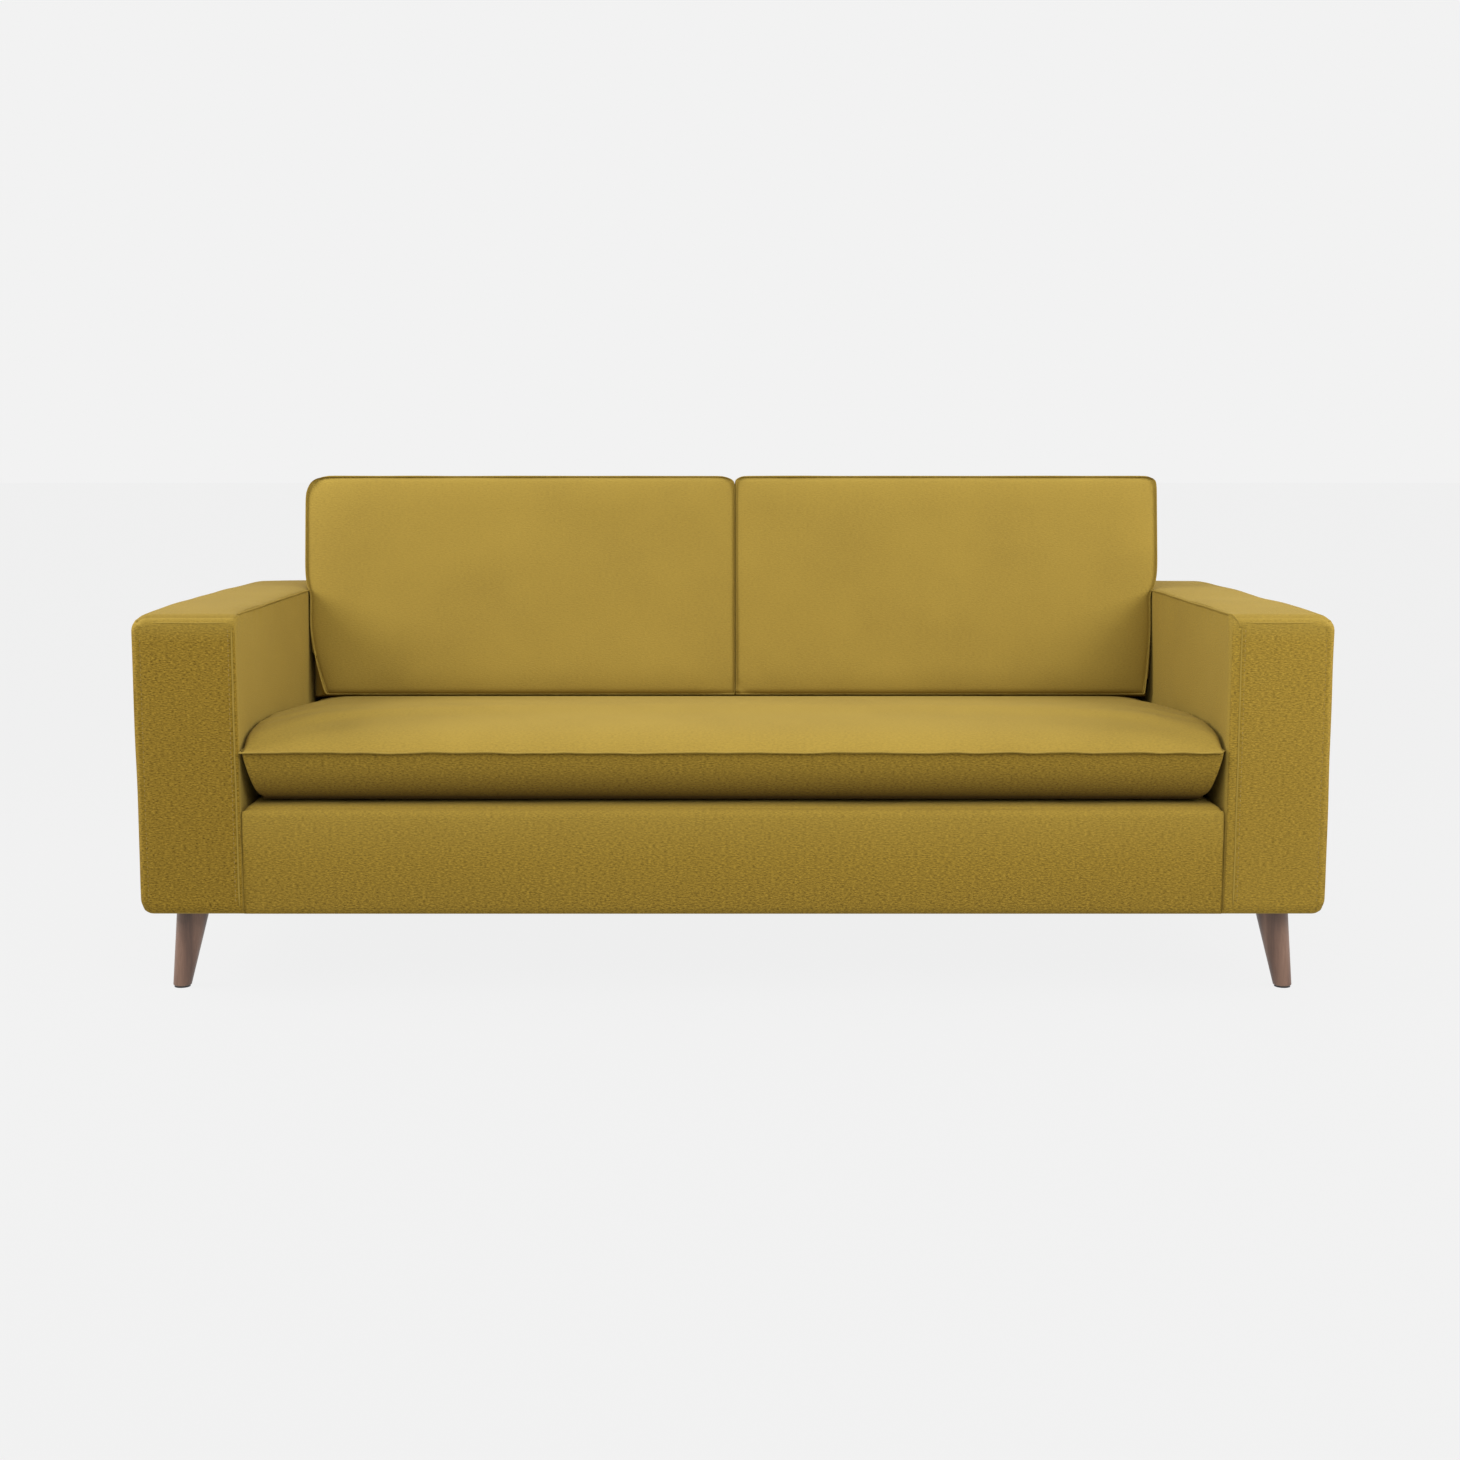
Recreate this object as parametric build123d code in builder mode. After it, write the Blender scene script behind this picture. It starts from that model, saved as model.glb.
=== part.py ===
"""A three-seat sofa with track arms, one long seat cushion, two back cushions and four splayed wooden legs.

Units are millimetres. X runs along the sofa, Y runs from the front (negative) to the back, and Z is up. The
origin is on the floor, under the middle of the sofa. Left and right are as seen by someone facing the sofa.
"""

from build123d import *
import math
import os

# Overall size
WIDTH = 2060
DEPTH = 930
BODY_BOTTOM = 150
ARM_WIDTH = 178
ARM_TOP = 667
DECK_TOP = 335
BACK_TOP = 775
BACK_LEAN = 9  # degrees from upright
FLANGE_PROUD = 8  # how far the seat cushion stands in front of the arms

# Thicknesses of the layers
FABRIC = 2
GAP = 0.5
ARM_FOAM = 20
BACK_FOAM = 40
HARDBOARD = 3
PLY = 18
RAIL = 25
DUST_CLOTH = 1
LEG_PLATE = 3

# Cushions
SEAT_BOTTOM = 336
SEAT_FLANGE = 430
SEAT_CREST = 474
SEAT_REAR_TOP = 447
SEAT_REAR_Y = 300
CUSHION_THICK = 190
CUSHION_TOP = 899
CUSHION_BOTTOM = 457
CUSHION_SPLIT = 10  # where the two back cushions meet, to the right of the middle
CUSHION_SIDE = 849  # outer ends of all cushions, from the middle

# Legs
LEG_TOP_RADIUS = 30
LEG_FOOT_RADIUS = 16
LEG_SPLAY = 21  # how far each foot stands outward of the leg's top, both sideways and along Y
LEG_X = 958
LEG_INSET_Y = 78
GLIDE_THICK = 3
GLIDE_RADIUS = 14
BOLT_RADIUS = 4
BOLT_HOLE = 4.1
BOLT_CLEARANCE = 4.5

# Places worked out from the above
FRONT = -DEPTH / 2 + FLANGE_PROUD
REAR = DEPTH / 2
INNER_X = WIDTH / 2 - ARM_WIDTH
BASE_X = INNER_X - GAP
PAD = FABRIC + GAP + ARM_FOAM + GAP
FRAME_BOTTOM = BODY_BOTTOM + LEG_PLATE
COVER_BOTTOM = BODY_BOTTOM + DUST_CLOTH
RAIL_TOP = 295
FRONT_RAIL_Y = FRONT + PAD
WEBBING_THICK = 1.5
BACK_PAD = FABRIC + GAP + BACK_FOAM + GAP + WEBBING_THICK + GAP
LEAN_TAN = math.tan(math.radians(BACK_LEAN))
REAR_RAIL_Y = SEAT_REAR_Y + 1 + BACK_PAD - RAIL - GAP
FRAME_REAR = REAR - FABRIC - GAP
SIDES = (("left", -1), ("right", 1))
LEG_ROWS = (("front", FRONT + LEG_INSET_Y, -1), ("rear", REAR - LEG_INSET_Y, 1))


def save(builder, name):
    """Labels a finished piece with its node's name and writes its STEP file."""
    builder.part.label = name
    export_step(builder.part, f"parts/{name}.step")


def board(x, y, z, mode=Mode.ADD):
    """A board that fills the given (from, to) span along each axis, in the open builder."""
    low = tuple(min(span) for span in (x, y, z))
    size = tuple(abs(span[1] - span[0]) for span in (x, y, z))
    with Locations(low):
        Box(*size, align=(Align.MIN,) * 3, mode=mode)


def back_y(z):
    """Y of the padded front of the back at height z."""
    return SEAT_REAR_Y + 1 + (z - DECK_TOP) * LEAN_TAN


def bar_along_x(centre_x, y, z, radius, length, mode=Mode.ADD):
    """A round bar or hole along X, in the open builder."""
    with Locations(Location((centre_x, y, z), (0, 90, 0))):
        Cylinder(radius, length, mode=mode)


# ---------------------------------------------------------------- legs
def make_legs():
    """Four turned, tapered legs, each cut level at both ends, with a blind hole for its stud."""
    stud_depth = 36
    foot_round = 2
    for row, y, y_side in LEG_ROWS:
        for side, x_side in SIDES:
            top = (x_side * LEG_X, y, BODY_BOTTOM)
            foot = (x_side * (LEG_X + LEG_SPLAY), y + y_side * LEG_SPLAY, GLIDE_THICK)
            with BuildPart() as leg:
                with BuildSketch(Plane(origin=foot)):
                    Circle(LEG_FOOT_RADIUS)
                with BuildSketch(Plane(origin=top)):
                    Circle(LEG_TOP_RADIUS)
                loft()
                fillet(leg.edges().group_by(Axis.Z)[0], foot_round)
                with Locations(top):
                    Hole(BOLT_HOLE, depth=stud_depth)
            save(leg, f"{row}_{side}_leg")


def leg_tops():
    """The middle of each leg's top."""
    return [(s * LEG_X, y, BODY_BOTTOM) for _, y, _ in LEG_ROWS for _, s in SIDES]


def make_leg_fittings():
    """Glides under the feet, and the studs, plates and screws that hold the legs on."""
    plate_side = 70
    screw_pitch = 52
    screw_radius, screw_length = 2.2, 22
    head_radius, head_height = 4.2, 2
    boss_radius, boss_height = 8, 10
    stud_below, stud_above = 34, 32

    with BuildPart() as glides:
        for _, y, y_side in LEG_ROWS:
            for _, x_side in SIDES:
                with Locations((x_side * (LEG_X + LEG_SPLAY), y + y_side * LEG_SPLAY, 0)):
                    Cylinder(GLIDE_RADIUS, GLIDE_THICK, align=(Align.CENTER, Align.CENTER, Align.MIN))
    save(glides, "leg_glides")

    with BuildPart() as studs:
        for x, y, z in leg_tops():
            with Locations((x, y, z - stud_below)):
                Cylinder(BOLT_RADIUS, stud_below + stud_above, align=(Align.CENTER, Align.CENTER, Align.MIN))
    save(studs, "leg_studs")

    with BuildPart() as plates:
        for x, y, z in leg_tops():
            with BuildSketch(Plane(origin=(x, y, z))):
                RectangleRounded(plate_side, plate_side, head_radius * 2)
                Circle(BOLT_HOLE, mode=Mode.SUBTRACT)
                with GridLocations(screw_pitch, screw_pitch, 2, 2):
                    Circle(screw_radius + 0.2, mode=Mode.SUBTRACT)
            extrude(amount=LEG_PLATE)
            with BuildSketch(Plane(origin=(x, y, z + LEG_PLATE))):
                Circle(boss_radius)
                Circle(BOLT_HOLE, mode=Mode.SUBTRACT)
            extrude(amount=boss_height)
    save(plates, "leg_plates")

    with BuildPart() as screws:
        for x, y, z in leg_tops():
            with BuildSketch(Plane(origin=(x, y, z - head_height))):
                with GridLocations(screw_pitch, screw_pitch, 2, 2):
                    Circle(head_radius)
            extrude(amount=head_height)
            with BuildSketch(Plane(origin=(x, y, z))):
                with GridLocations(screw_pitch, screw_pitch, 2, 2):
                    Circle(screw_radius)
            extrude(amount=screw_length)
    save(screws, "leg_plate_screws")


# ---------------------------------------------------------------- arms
ARM_BOLT_Z = FRAME_BOTTOM + 20
ARM_BOLT_Y = (-300, 0, 280)
FRAME_IN = INNER_X + PAD
FRAME_OUT = WIDTH / 2 - PAD
FRAME_FRONT = FRONT + PAD
FRAME_BACK = REAR - PAD
FRAME_TOP = ARM_TOP - PAD


def arm_bolt_holes(side, radius):
    """Cuts the holes for the arm bolts through the open builder's piece."""
    for y in ARM_BOLT_Y:
        bar_along_x(side * (INNER_X + 18), y, ARM_BOLT_Z, radius, 80, Mode.SUBTRACT)


def make_arm_frame(name, side):
    """Plywood ends and top, a thick bottom board that takes the legs, and a hardboard panel each side."""
    inner, outer = side * FRAME_IN, side * FRAME_OUT
    between = (FRAME_FRONT + PLY, FRAME_BACK - PLY)
    inside = (inner + side * HARDBOARD, outer - side * HARDBOARD)
    bottom_thick = 40
    nut_radius, nut_depth = 8.5, 11
    screw_hole, screw_pitch, screw_depth = 2.4, 52, 24

    with BuildPart() as front_board:
        board((inner, outer), (FRAME_FRONT, FRAME_FRONT + PLY), (FRAME_BOTTOM, FRAME_TOP))
    save(front_board, f"{name}_arm_front_board")

    with BuildPart() as rear_board:
        board((inner, outer), (FRAME_BACK - PLY, FRAME_BACK), (FRAME_BOTTOM, FRAME_TOP))
    save(rear_board, f"{name}_arm_rear_board")

    with BuildPart() as top_board:
        board(inside, between, (FRAME_TOP - PLY, FRAME_TOP))
    save(top_board, f"{name}_arm_top_board")

    with BuildPart() as bottom_board:
        board(inside, between, (FRAME_BOTTOM, FRAME_BOTTOM + bottom_thick))
        arm_bolt_holes(side, BOLT_HOLE)
        for x, y, _ in (place for place in leg_tops() if place[0] * side > 0):
            under = Plane(origin=(x, y, FRAME_BOTTOM))
            with BuildSketch(under):
                Circle(nut_radius)
            extrude(amount=nut_depth, mode=Mode.SUBTRACT)
            with BuildSketch(under):
                Circle(BOLT_CLEARANCE)
                with GridLocations(screw_pitch, screw_pitch, 2, 2):
                    Circle(screw_hole)
            extrude(amount=screw_depth, mode=Mode.SUBTRACT)
            with BuildSketch(under):
                Circle(BOLT_CLEARANCE)
            extrude(amount=bottom_thick, mode=Mode.SUBTRACT)
    save(bottom_board, f"{name}_arm_bottom_board")

    with BuildPart() as inner_panel:
        board((inner, inner + side * HARDBOARD), between, (FRAME_BOTTOM, FRAME_TOP))
        arm_bolt_holes(side, BOLT_CLEARANCE)
    save(inner_panel, f"{name}_arm_inner_panel")

    with BuildPart() as outer_panel:
        board((outer - side * HARDBOARD, outer), between, (FRAME_BOTTOM, FRAME_TOP))
    save(outer_panel, f"{name}_arm_outer_panel")


def arm_block(side, inset, bottom, top_round=0, edge_round=0):
    """A solid block that follows the arm, set in from its outside, with its outer top edge rounded."""
    centre = ((WIDTH - ARM_WIDTH) / 2 * side, (FRONT + REAR) / 2, bottom)
    with BuildPart() as block:
        with BuildSketch(Plane(origin=centre)):
            Rectangle(ARM_WIDTH - 2 * inset, REAR - FRONT - 2 * inset)
        extrude(amount=ARM_TOP - inset - bottom)
        if top_round:
            top_edges = block.faces().sort_by(Axis.Z)[-1].edges().filter_by(Axis.Y)
            fillet(top_edges.sort_by(Axis.X)[-1 if side > 0 else 0], top_round)
            fillet(block.edges().filter_by(Axis.Z), edge_round)
    return block.part


def make_arm_padding(name, side):
    """The foam wrap and the fabric cover of one arm, both open underneath."""
    outer_round, edge_round = 30, 6
    below = 5
    foam_inset = FABRIC + GAP
    with BuildPart() as foam:
        add(arm_block(side, foam_inset, COVER_BOTTOM + GAP, outer_round - FABRIC, edge_round - FABRIC))
        add(arm_block(side, foam_inset + ARM_FOAM, COVER_BOTTOM - below), mode=Mode.SUBTRACT)
        arm_bolt_holes(side, BOLT_CLEARANCE)
    save(foam, f"{name}_arm_foam")

    with BuildPart() as cover:
        add(arm_block(side, 0, COVER_BOTTOM, outer_round, edge_round))
        cavity = arm_block(side, FABRIC, COVER_BOTTOM - below, outer_round - FABRIC, edge_round - FABRIC)
        add(cavity, mode=Mode.SUBTRACT)
        arm_bolt_holes(side, BOLT_CLEARANCE)
    save(cover, f"{name}_arm_cover")


# ---------------------------------------------------------------- seat base
def make_base_frame():
    """Front, rear, side and cross rails with glued corner blocks."""
    side_y = (FRONT_RAIL_Y + RAIL, REAR_RAIL_Y)
    heights = (FRAME_BOTTOM, RAIL_TOP)
    cross_x, cross_top = 286, RAIL_TOP - 40
    block_leg, block_low, block_height = 70, FRAME_BOTTOM + 40, 70

    with BuildPart() as front_rail:
        board((-BASE_X, BASE_X), (FRONT_RAIL_Y, FRONT_RAIL_Y + RAIL), heights)
    save(front_rail, "front_rail")

    with BuildPart() as rear_rail:
        board((-BASE_X, BASE_X), (REAR_RAIL_Y, REAR_RAIL_Y + RAIL), heights)
    save(rear_rail, "rear_rail")

    for name, side in SIDES:
        with BuildPart() as side_rail:
            board((side * (BASE_X - RAIL), side * BASE_X), side_y, heights)
            arm_bolt_holes(side, BOLT_CLEARANCE)
            for y in ARM_BOLT_Y:
                bar_along_x(side * (BASE_X - RAIL / 2), y, ARM_BOLT_Z, BOLT_CLEARANCE, RAIL, Mode.SUBTRACT)
        save(side_rail, f"{name}_side_rail")

    with BuildPart() as cross_rails:
        for x in (-cross_x, cross_x):
            board((x - RAIL / 2, x + RAIL / 2), side_y, (FRAME_BOTTOM, cross_top))
    save(cross_rails, "cross_rails")

    with BuildPart() as corner_blocks:
        for _, side in SIDES:
            for y, inward in ((side_y[0], 1), (side_y[1], -1)):
                corner = (side * (BASE_X - RAIL), y)
                with BuildSketch(Plane.XY.offset(block_low)):
                    Polygon(
                        corner,
                        (corner[0] - side * block_leg, y),
                        (corner[0], y + inward * block_leg),
                        align=None,
                    )
                extrude(amount=block_height)
    save(corner_blocks, "corner_blocks")


def make_arm_bolts():
    """Three bolts a side, each with its washer, that hold an arm to the seat base."""
    washer_radius, washer_thick = 12, 1.6
    head_radius, head_height = 7.5, 5.3
    shank_end = FRAME_IN + HARDBOARD + 28
    seat = BASE_X - RAIL
    with BuildPart() as bolts:
        for _, side in SIDES:
            for y in ARM_BOLT_Y:
                start = seat - washer_thick
                bar_along_x(side * (start + shank_end) / 2, y, ARM_BOLT_Z, BOLT_RADIUS, shank_end - start)
                bar_along_x(side * (seat - washer_thick / 2), y, ARM_BOLT_Z, washer_radius, washer_thick)
                face = Plane(origin=(side * start, y, ARM_BOLT_Z), x_dir=(0, 1, 0), z_dir=(-side, 0, 0))
                with BuildSketch(face):
                    RegularPolygon(head_radius, 6)
                extrude(amount=head_height)
    save(bolts, "arm_bolts")


# ---------------------------------------------------------------- seat suspension and deck
SPRING_Z = RAIL_TOP + 7
SPRING_WIRE = 1.9
SPRING_ENDS = (FRONT_RAIL_Y + 14, REAR_RAIL_Y + RAIL / 2)
SPRING_X = tuple(range(-750, 751, 250))


def make_springs():
    """Seven zigzag springs from the front rail to the rear rail, each end held in a clip."""
    runs = 24
    half_run = 13
    first, last = SPRING_ENDS
    pitch = (last - first) / (runs - 1)
    with BuildPart() as one_spring:
        for i in range(runs):
            bar_along_x(0, first + i * pitch, SPRING_Z, SPRING_WIRE, 2 * half_run)
        for i in range(runs - 1):
            toward = 1 if i % 2 == 0 else -1
            end = (toward * half_run, first + i * pitch, SPRING_Z)
            with BuildSketch(Plane(origin=end, z_dir=(1, 0, 0))):
                Circle(SPRING_WIRE)
            turn = Axis((end[0], end[1] + pitch / 2, SPRING_Z), (0, 0, toward))
            revolve(axis=turn, revolution_arc=180)
    with BuildPart() as springs:
        with Locations(*[(x, 0, 0) for x in SPRING_X]):
            add(one_spring.part)
    save(springs, "seat_springs")

    clip_x, clip_y, clip_top = 8, 5, RAIL_TOP + 10.5
    with BuildPart() as clips:
        for x in SPRING_X:
            for y in SPRING_ENDS:
                board((x - clip_x, x + clip_x), (y - clip_y, y + clip_y), (RAIL_TOP, clip_top))
                bar_along_x(x, y, SPRING_Z, SPRING_WIRE + 0.15, 4 * clip_x, Mode.SUBTRACT)
    save(clips, "spring_clips")


def make_deck():
    """Felt over the springs, then foam, then the cloth that the seat cushion lies on."""
    felt = (SPRING_Z + SPRING_WIRE + GAP, SPRING_Z + SPRING_WIRE + GAP + 3)
    foam_top = DECK_TOP - FABRIC - GAP
    border_end = FRONT_RAIL_Y + RAIL
    with BuildPart() as insulator:
        board((-820, 820), (border_end, REAR_RAIL_Y - GAP), felt)
    save(insulator, "spring_insulator")

    with BuildPart() as foam:
        board((-BASE_X, BASE_X), (border_end + GAP, SEAT_REAR_Y), (felt[1] + GAP, foam_top))
    save(foam, "deck_foam")

    with BuildPart() as cloth:
        board((-BASE_X, BASE_X), (FRONT + 127 + 1, SEAT_REAR_Y + GAP), (DECK_TOP - FABRIC, DECK_TOP))
    save(cloth, "deck_cloth")


def make_front_border():
    """The padded, covered front of the seat base, rolled over its top edge."""
    face = FRONT + FABRIC + GAP
    foam_top = DECK_TOP - FABRIC - GAP
    behind = FRONT_RAIL_Y - GAP
    foam_end = FRONT_RAIL_Y + RAIL
    over_clips = RAIL_TOP + 11.5
    roll = 18
    with BuildPart() as foam:
        with BuildSketch(Plane.YZ.offset(-BASE_X)) as profile:
            Polygon(
                (face, COVER_BOTTOM + GAP),
                (face, foam_top),
                (foam_end, foam_top),
                (foam_end, over_clips),
                (behind, over_clips),
                (behind, COVER_BOTTOM + GAP),
                align=None,
            )
            fillet(profile.vertices().group_by(Axis.Y)[-1].sort_by(Axis.X)[0], roll - FABRIC)
        extrude(amount=2 * BASE_X)
    save(foam, "border_foam")

    middle = FABRIC / 2
    with BuildPart() as cover:
        with BuildSketch(Plane.YZ.offset(-BASE_X)):
            with BuildLine():
                FilletPolyline(
                    (FRONT + middle, COVER_BOTTOM),
                    (FRONT + middle, DECK_TOP - middle),
                    (FRONT + 127, DECK_TOP - middle),
                    radius=roll,
                )
            trace(line_width=FABRIC)
        extrude(amount=2 * BASE_X)
    save(cover, "border_cover")


# ---------------------------------------------------------------- back
POST_TOP = BACK_TOP - FABRIC - GAP - 20 - GAP - PLY
POST_X = (-838, -280, 280, 838)
POST_THICK = 22


def post_y(z):
    """Y of the front of the back posts at height z."""
    return back_y(z) + BACK_PAD


def make_back_frame():
    """Four tapered plywood posts, a top rail, and lumbar rails between the posts."""
    with BuildPart() as posts:
        for x in POST_X:
            with BuildSketch(Plane.YZ.offset(x - POST_THICK / 2)):
                Polygon(
                    (post_y(DECK_TOP), FRAME_BOTTOM),
                    (post_y(DECK_TOP), DECK_TOP),
                    (post_y(POST_TOP), POST_TOP),
                    (FRAME_REAR, POST_TOP),
                    (FRAME_REAR, FRAME_BOTTOM),
                    align=None,
                )
            extrude(amount=POST_THICK)
    save(posts, "back_posts")

    with BuildPart() as top_rail:
        board((-BASE_X, BASE_X), (post_y(POST_TOP + PLY), FRAME_REAR), (POST_TOP, POST_TOP + PLY))
    save(top_rail, "back_top_rail")

    rail_z = (470, 530)
    with BuildPart() as lumbar_rails:
        for low, high in zip(POST_X, POST_X[1:]):
            span = (low + POST_THICK / 2, high - POST_THICK / 2)
            board(span, (post_y(rail_z[1]) + 3, post_y(rail_z[1]) + 3 + RAIL), rail_z)
    save(lumbar_rails, "back_lumbar_rails")

    strap_width = 50
    half_length = POST_X[-1] + POST_THICK / 2
    lean_up = (0, math.sin(math.radians(BACK_LEAN)), math.cos(math.radians(BACK_LEAN)))
    with BuildPart() as webbing:
        for z in (400, 475, 550, 625, 700):
            y = post_y(z) - GAP - WEBBING_THICK / 2
            strap = Plane(origin=(0, y, z), x_dir=(1, 0, 0), z_dir=(0, lean_up[2], -lean_up[1]))
            with BuildSketch(strap.offset(-WEBBING_THICK / 2)):
                Rectangle(2 * half_length, strap_width)
            extrude(amount=WEBBING_THICK)
    save(webbing, "back_webbing")


def make_back_padding():
    """Back foam, the inside cover that wraps over the top, and the outside cover below it."""
    low = DECK_TOP + 3
    skin = FABRIC + GAP
    foam_top = BACK_TOP - skin
    over_rail = POST_TOP + PLY + GAP
    with BuildPart() as foam:
        with BuildSketch(Plane.YZ.offset(-BASE_X)) as profile:
            Polygon(
                (back_y(low) + skin, low),
                (back_y(foam_top) + skin, foam_top),
                (FRAME_REAR, foam_top),
                (FRAME_REAR, over_rail),
                (back_y(over_rail) + skin + BACK_FOAM, over_rail),
                (back_y(low) + skin + BACK_FOAM, low),
                align=None,
            )
            fillet(profile.vertices().group_by(Axis.Y)[-1], 17)
        extrude(amount=2 * BASE_X)
    save(foam, "back_foam")

    middle = FABRIC / 2
    tuck = DECK_TOP - 25
    seam_z = BACK_TOP - 30
    with BuildPart() as inside_cover:
        with BuildSketch(Plane.YZ.offset(-BASE_X)):
            with BuildLine():
                FilletPolyline(
                    (back_y(DECK_TOP) + middle, tuck),
                    (back_y(DECK_TOP) + middle, DECK_TOP),
                    (back_y(BACK_TOP) + middle, BACK_TOP - middle),
                    (REAR - middle, BACK_TOP - middle),
                    (REAR - middle, seam_z),
                    radius=19,
                )
            trace(line_width=FABRIC)
        extrude(amount=2 * BASE_X)
    save(inside_cover, "inside_back_cover")

    with BuildPart() as outside_cover:
        board((-BASE_X, BASE_X), (REAR - FABRIC, REAR), (COVER_BOTTOM, seam_z - GAP))
    save(outside_cover, "outside_back_cover")


def make_dust_cover():
    """The thin black cloth under the whole body, cut out round the leg plates."""
    edge = 26
    cut_out = 74
    with BuildPart() as cloth:
        with BuildSketch(Plane.XY.offset(BODY_BOTTOM)):
            with Locations((0, (FRONT + REAR) / 2)):
                Rectangle(WIDTH - 2 * edge, REAR - FRONT - 2 * edge)
            with Locations(*[(x, y) for x, y, _ in leg_tops()]):
                Rectangle(cut_out, cut_out, mode=Mode.SUBTRACT)
        extrude(amount=DUST_CLOTH)
    save(cloth, "dust_cover")


# ---------------------------------------------------------------- cushions
def seat_section(inset):
    """The seat cushion's section, set in from its outside."""
    nose = FRONT - FLANGE_PROUD
    with BuildSketch() as section:
        with BuildLine():
            Polyline(
                (nose + 40, SEAT_CREST - 16),
                (nose, SEAT_FLANGE),
                (nose + 9, SEAT_BOTTOM + 24),
                (nose + 34, SEAT_BOTTOM),
                (SEAT_REAR_Y, SEAT_BOTTOM),
                (SEAT_REAR_Y, SEAT_REAR_TOP),
                (nose + 100, SEAT_CREST),
            )
            ThreePointArc(
                (nose + 100, SEAT_CREST),
                (nose + 69, SEAT_CREST - 5),
                (nose + 40, SEAT_CREST - 16),
            )
        make_face()
        if inset:
            offset(amount=-inset, kind=Kind.INTERSECTION, mode=Mode.REPLACE)
    return section.sketch


def rear_y(z):
    """Y of the back cushions' rear at height z, just clear of the padded back."""
    return back_y(z) - 3


def back_section(inset):
    """A back cushion's section, set in from its outside."""
    deep = CUSHION_THICK / math.cos(math.radians(BACK_LEAN))
    slope = CUSHION_THICK * math.sin(math.radians(BACK_LEAN))
    with BuildSketch() as section:
        Polygon(
            (rear_y(CUSHION_BOTTOM) - deep, CUSHION_BOTTOM),
            (rear_y(CUSHION_TOP) - deep, CUSHION_TOP),
            (rear_y(CUSHION_TOP - slope), CUSHION_TOP - slope),
            CHAMFER_HIGH,
            CHAMFER_LOW,
            align=None,
        )
        fillet(section.vertices().group_by(Axis.Y)[0], 20)
        fillet(section.vertices().sort_by(Axis.Y)[-1], 35)
        if inset:
            offset(amount=-inset, kind=Kind.INTERSECTION, mode=Mode.REPLACE)
    return section.sketch


CHAMFER_LOW = (SEAT_REAR_Y - 14, CUSHION_BOTTOM - 6)
CHAMFER_HIGH = (rear_y(CUSHION_BOTTOM + 29), CUSHION_BOTTOM + 29)


def make_cushion(name, section, span, filling):
    """A cushion cover, which is a closed shell, and the filling inside it. span is its two ends along X."""
    slack = 0.5
    with BuildPart() as cover:
        with BuildSketch(Plane.YZ.offset(span[0])):
            add(section(0))
        extrude(amount=span[1] - span[0])
        with BuildSketch(Plane.YZ.offset(span[0] + FABRIC)):
            add(section(FABRIC))
        extrude(amount=span[1] - span[0] - 2 * FABRIC, mode=Mode.SUBTRACT)
    save(cover, f"{name}_cover")

    core_inset = FABRIC + slack
    with BuildPart() as core:
        with BuildSketch(Plane.YZ.offset(span[0] + core_inset)):
            add(section(core_inset))
        extrude(amount=span[1] - span[0] - 2 * core_inset)
    save(core, f"{name}_{filling}")


def make_zip(name, face, length):
    """A zip along the middle of a face of a cushion, and its slider at the zip's left end."""
    tape_width, tape_thick = 24, 0.8
    coil_width, coil_thick = 6, 1.6
    slider_long, slider_wide, slider_thick = 14, 9, 2
    tab_long, tab_wide, tab_thick = 18, 5, 1
    clear = 0.3
    with BuildPart() as zip_strip:
        with BuildSketch(face):
            Rectangle(length, tape_width)
        extrude(amount=tape_thick)
        with BuildSketch(face.offset(tape_thick)):
            Rectangle(length, coil_width)
        extrude(amount=coil_thick - tape_thick)
    save(zip_strip, f"{name}_zip")

    start = -length / 2 + slider_long
    with BuildPart() as slider:
        with BuildSketch(face.offset(coil_thick + clear)):
            with Locations((start, 0)):
                RectangleRounded(slider_long, slider_wide, 2)
        extrude(amount=slider_thick)
        with BuildSketch(face.offset(coil_thick + clear + slider_thick)):
            with Locations((start + tab_long / 2, 0)):
                SlotOverall(tab_long, tab_wide)
                with Locations((tab_long / 4, 0)):
                    Circle(1.2, mode=Mode.SUBTRACT)
        extrude(amount=tab_thick)
    save(slider, f"{name}_zip_slider")


def make_cushions():
    """The long seat cushion and the two back cushions, each with a zip at the back."""
    make_cushion("seat_cushion", seat_section, (-CUSHION_SIDE, CUSHION_SIDE), "core")
    seat_back = Plane(origin=(0, SEAT_REAR_Y, 392), x_dir=(1, 0, 0), z_dir=(0, 1, 0))
    make_zip("seat_cushion", seat_back, 1500)

    run = CHAMFER_HIGH[0] - CHAMFER_LOW[0]
    rise = CHAMFER_HIGH[1] - CHAMFER_LOW[1]
    middle = ((CHAMFER_HIGH[0] + CHAMFER_LOW[0]) / 2, (CHAMFER_HIGH[1] + CHAMFER_LOW[1]) / 2)
    spans = {
        "left": (-CUSHION_SIDE, CUSHION_SPLIT - 1),
        "right": (CUSHION_SPLIT + 1, CUSHION_SIDE),
    }
    for side, span in spans.items():
        name = f"{side}_back_cushion"
        make_cushion(name, back_section, span, "filling")
        centre = ((span[0] + span[1]) / 2, *middle)
        chamfer_face = Plane(origin=centre, x_dir=(1, 0, 0), z_dir=(0, rise, -run))
        make_zip(name, chamfer_face, 640)


os.makedirs("parts", exist_ok=True)
make_legs()
make_leg_fittings()
for arm_name, arm_side in SIDES:
    make_arm_frame(arm_name, arm_side)
    make_arm_padding(arm_name, arm_side)
make_base_frame()
make_arm_bolts()
make_springs()
make_deck()
make_front_border()
make_back_frame()
make_back_padding()
make_dust_cover()
make_cushions()
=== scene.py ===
import math

import bpy
import numpy as np
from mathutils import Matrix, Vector, noise
from mathutils.bvhtree import BVHTree


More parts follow.
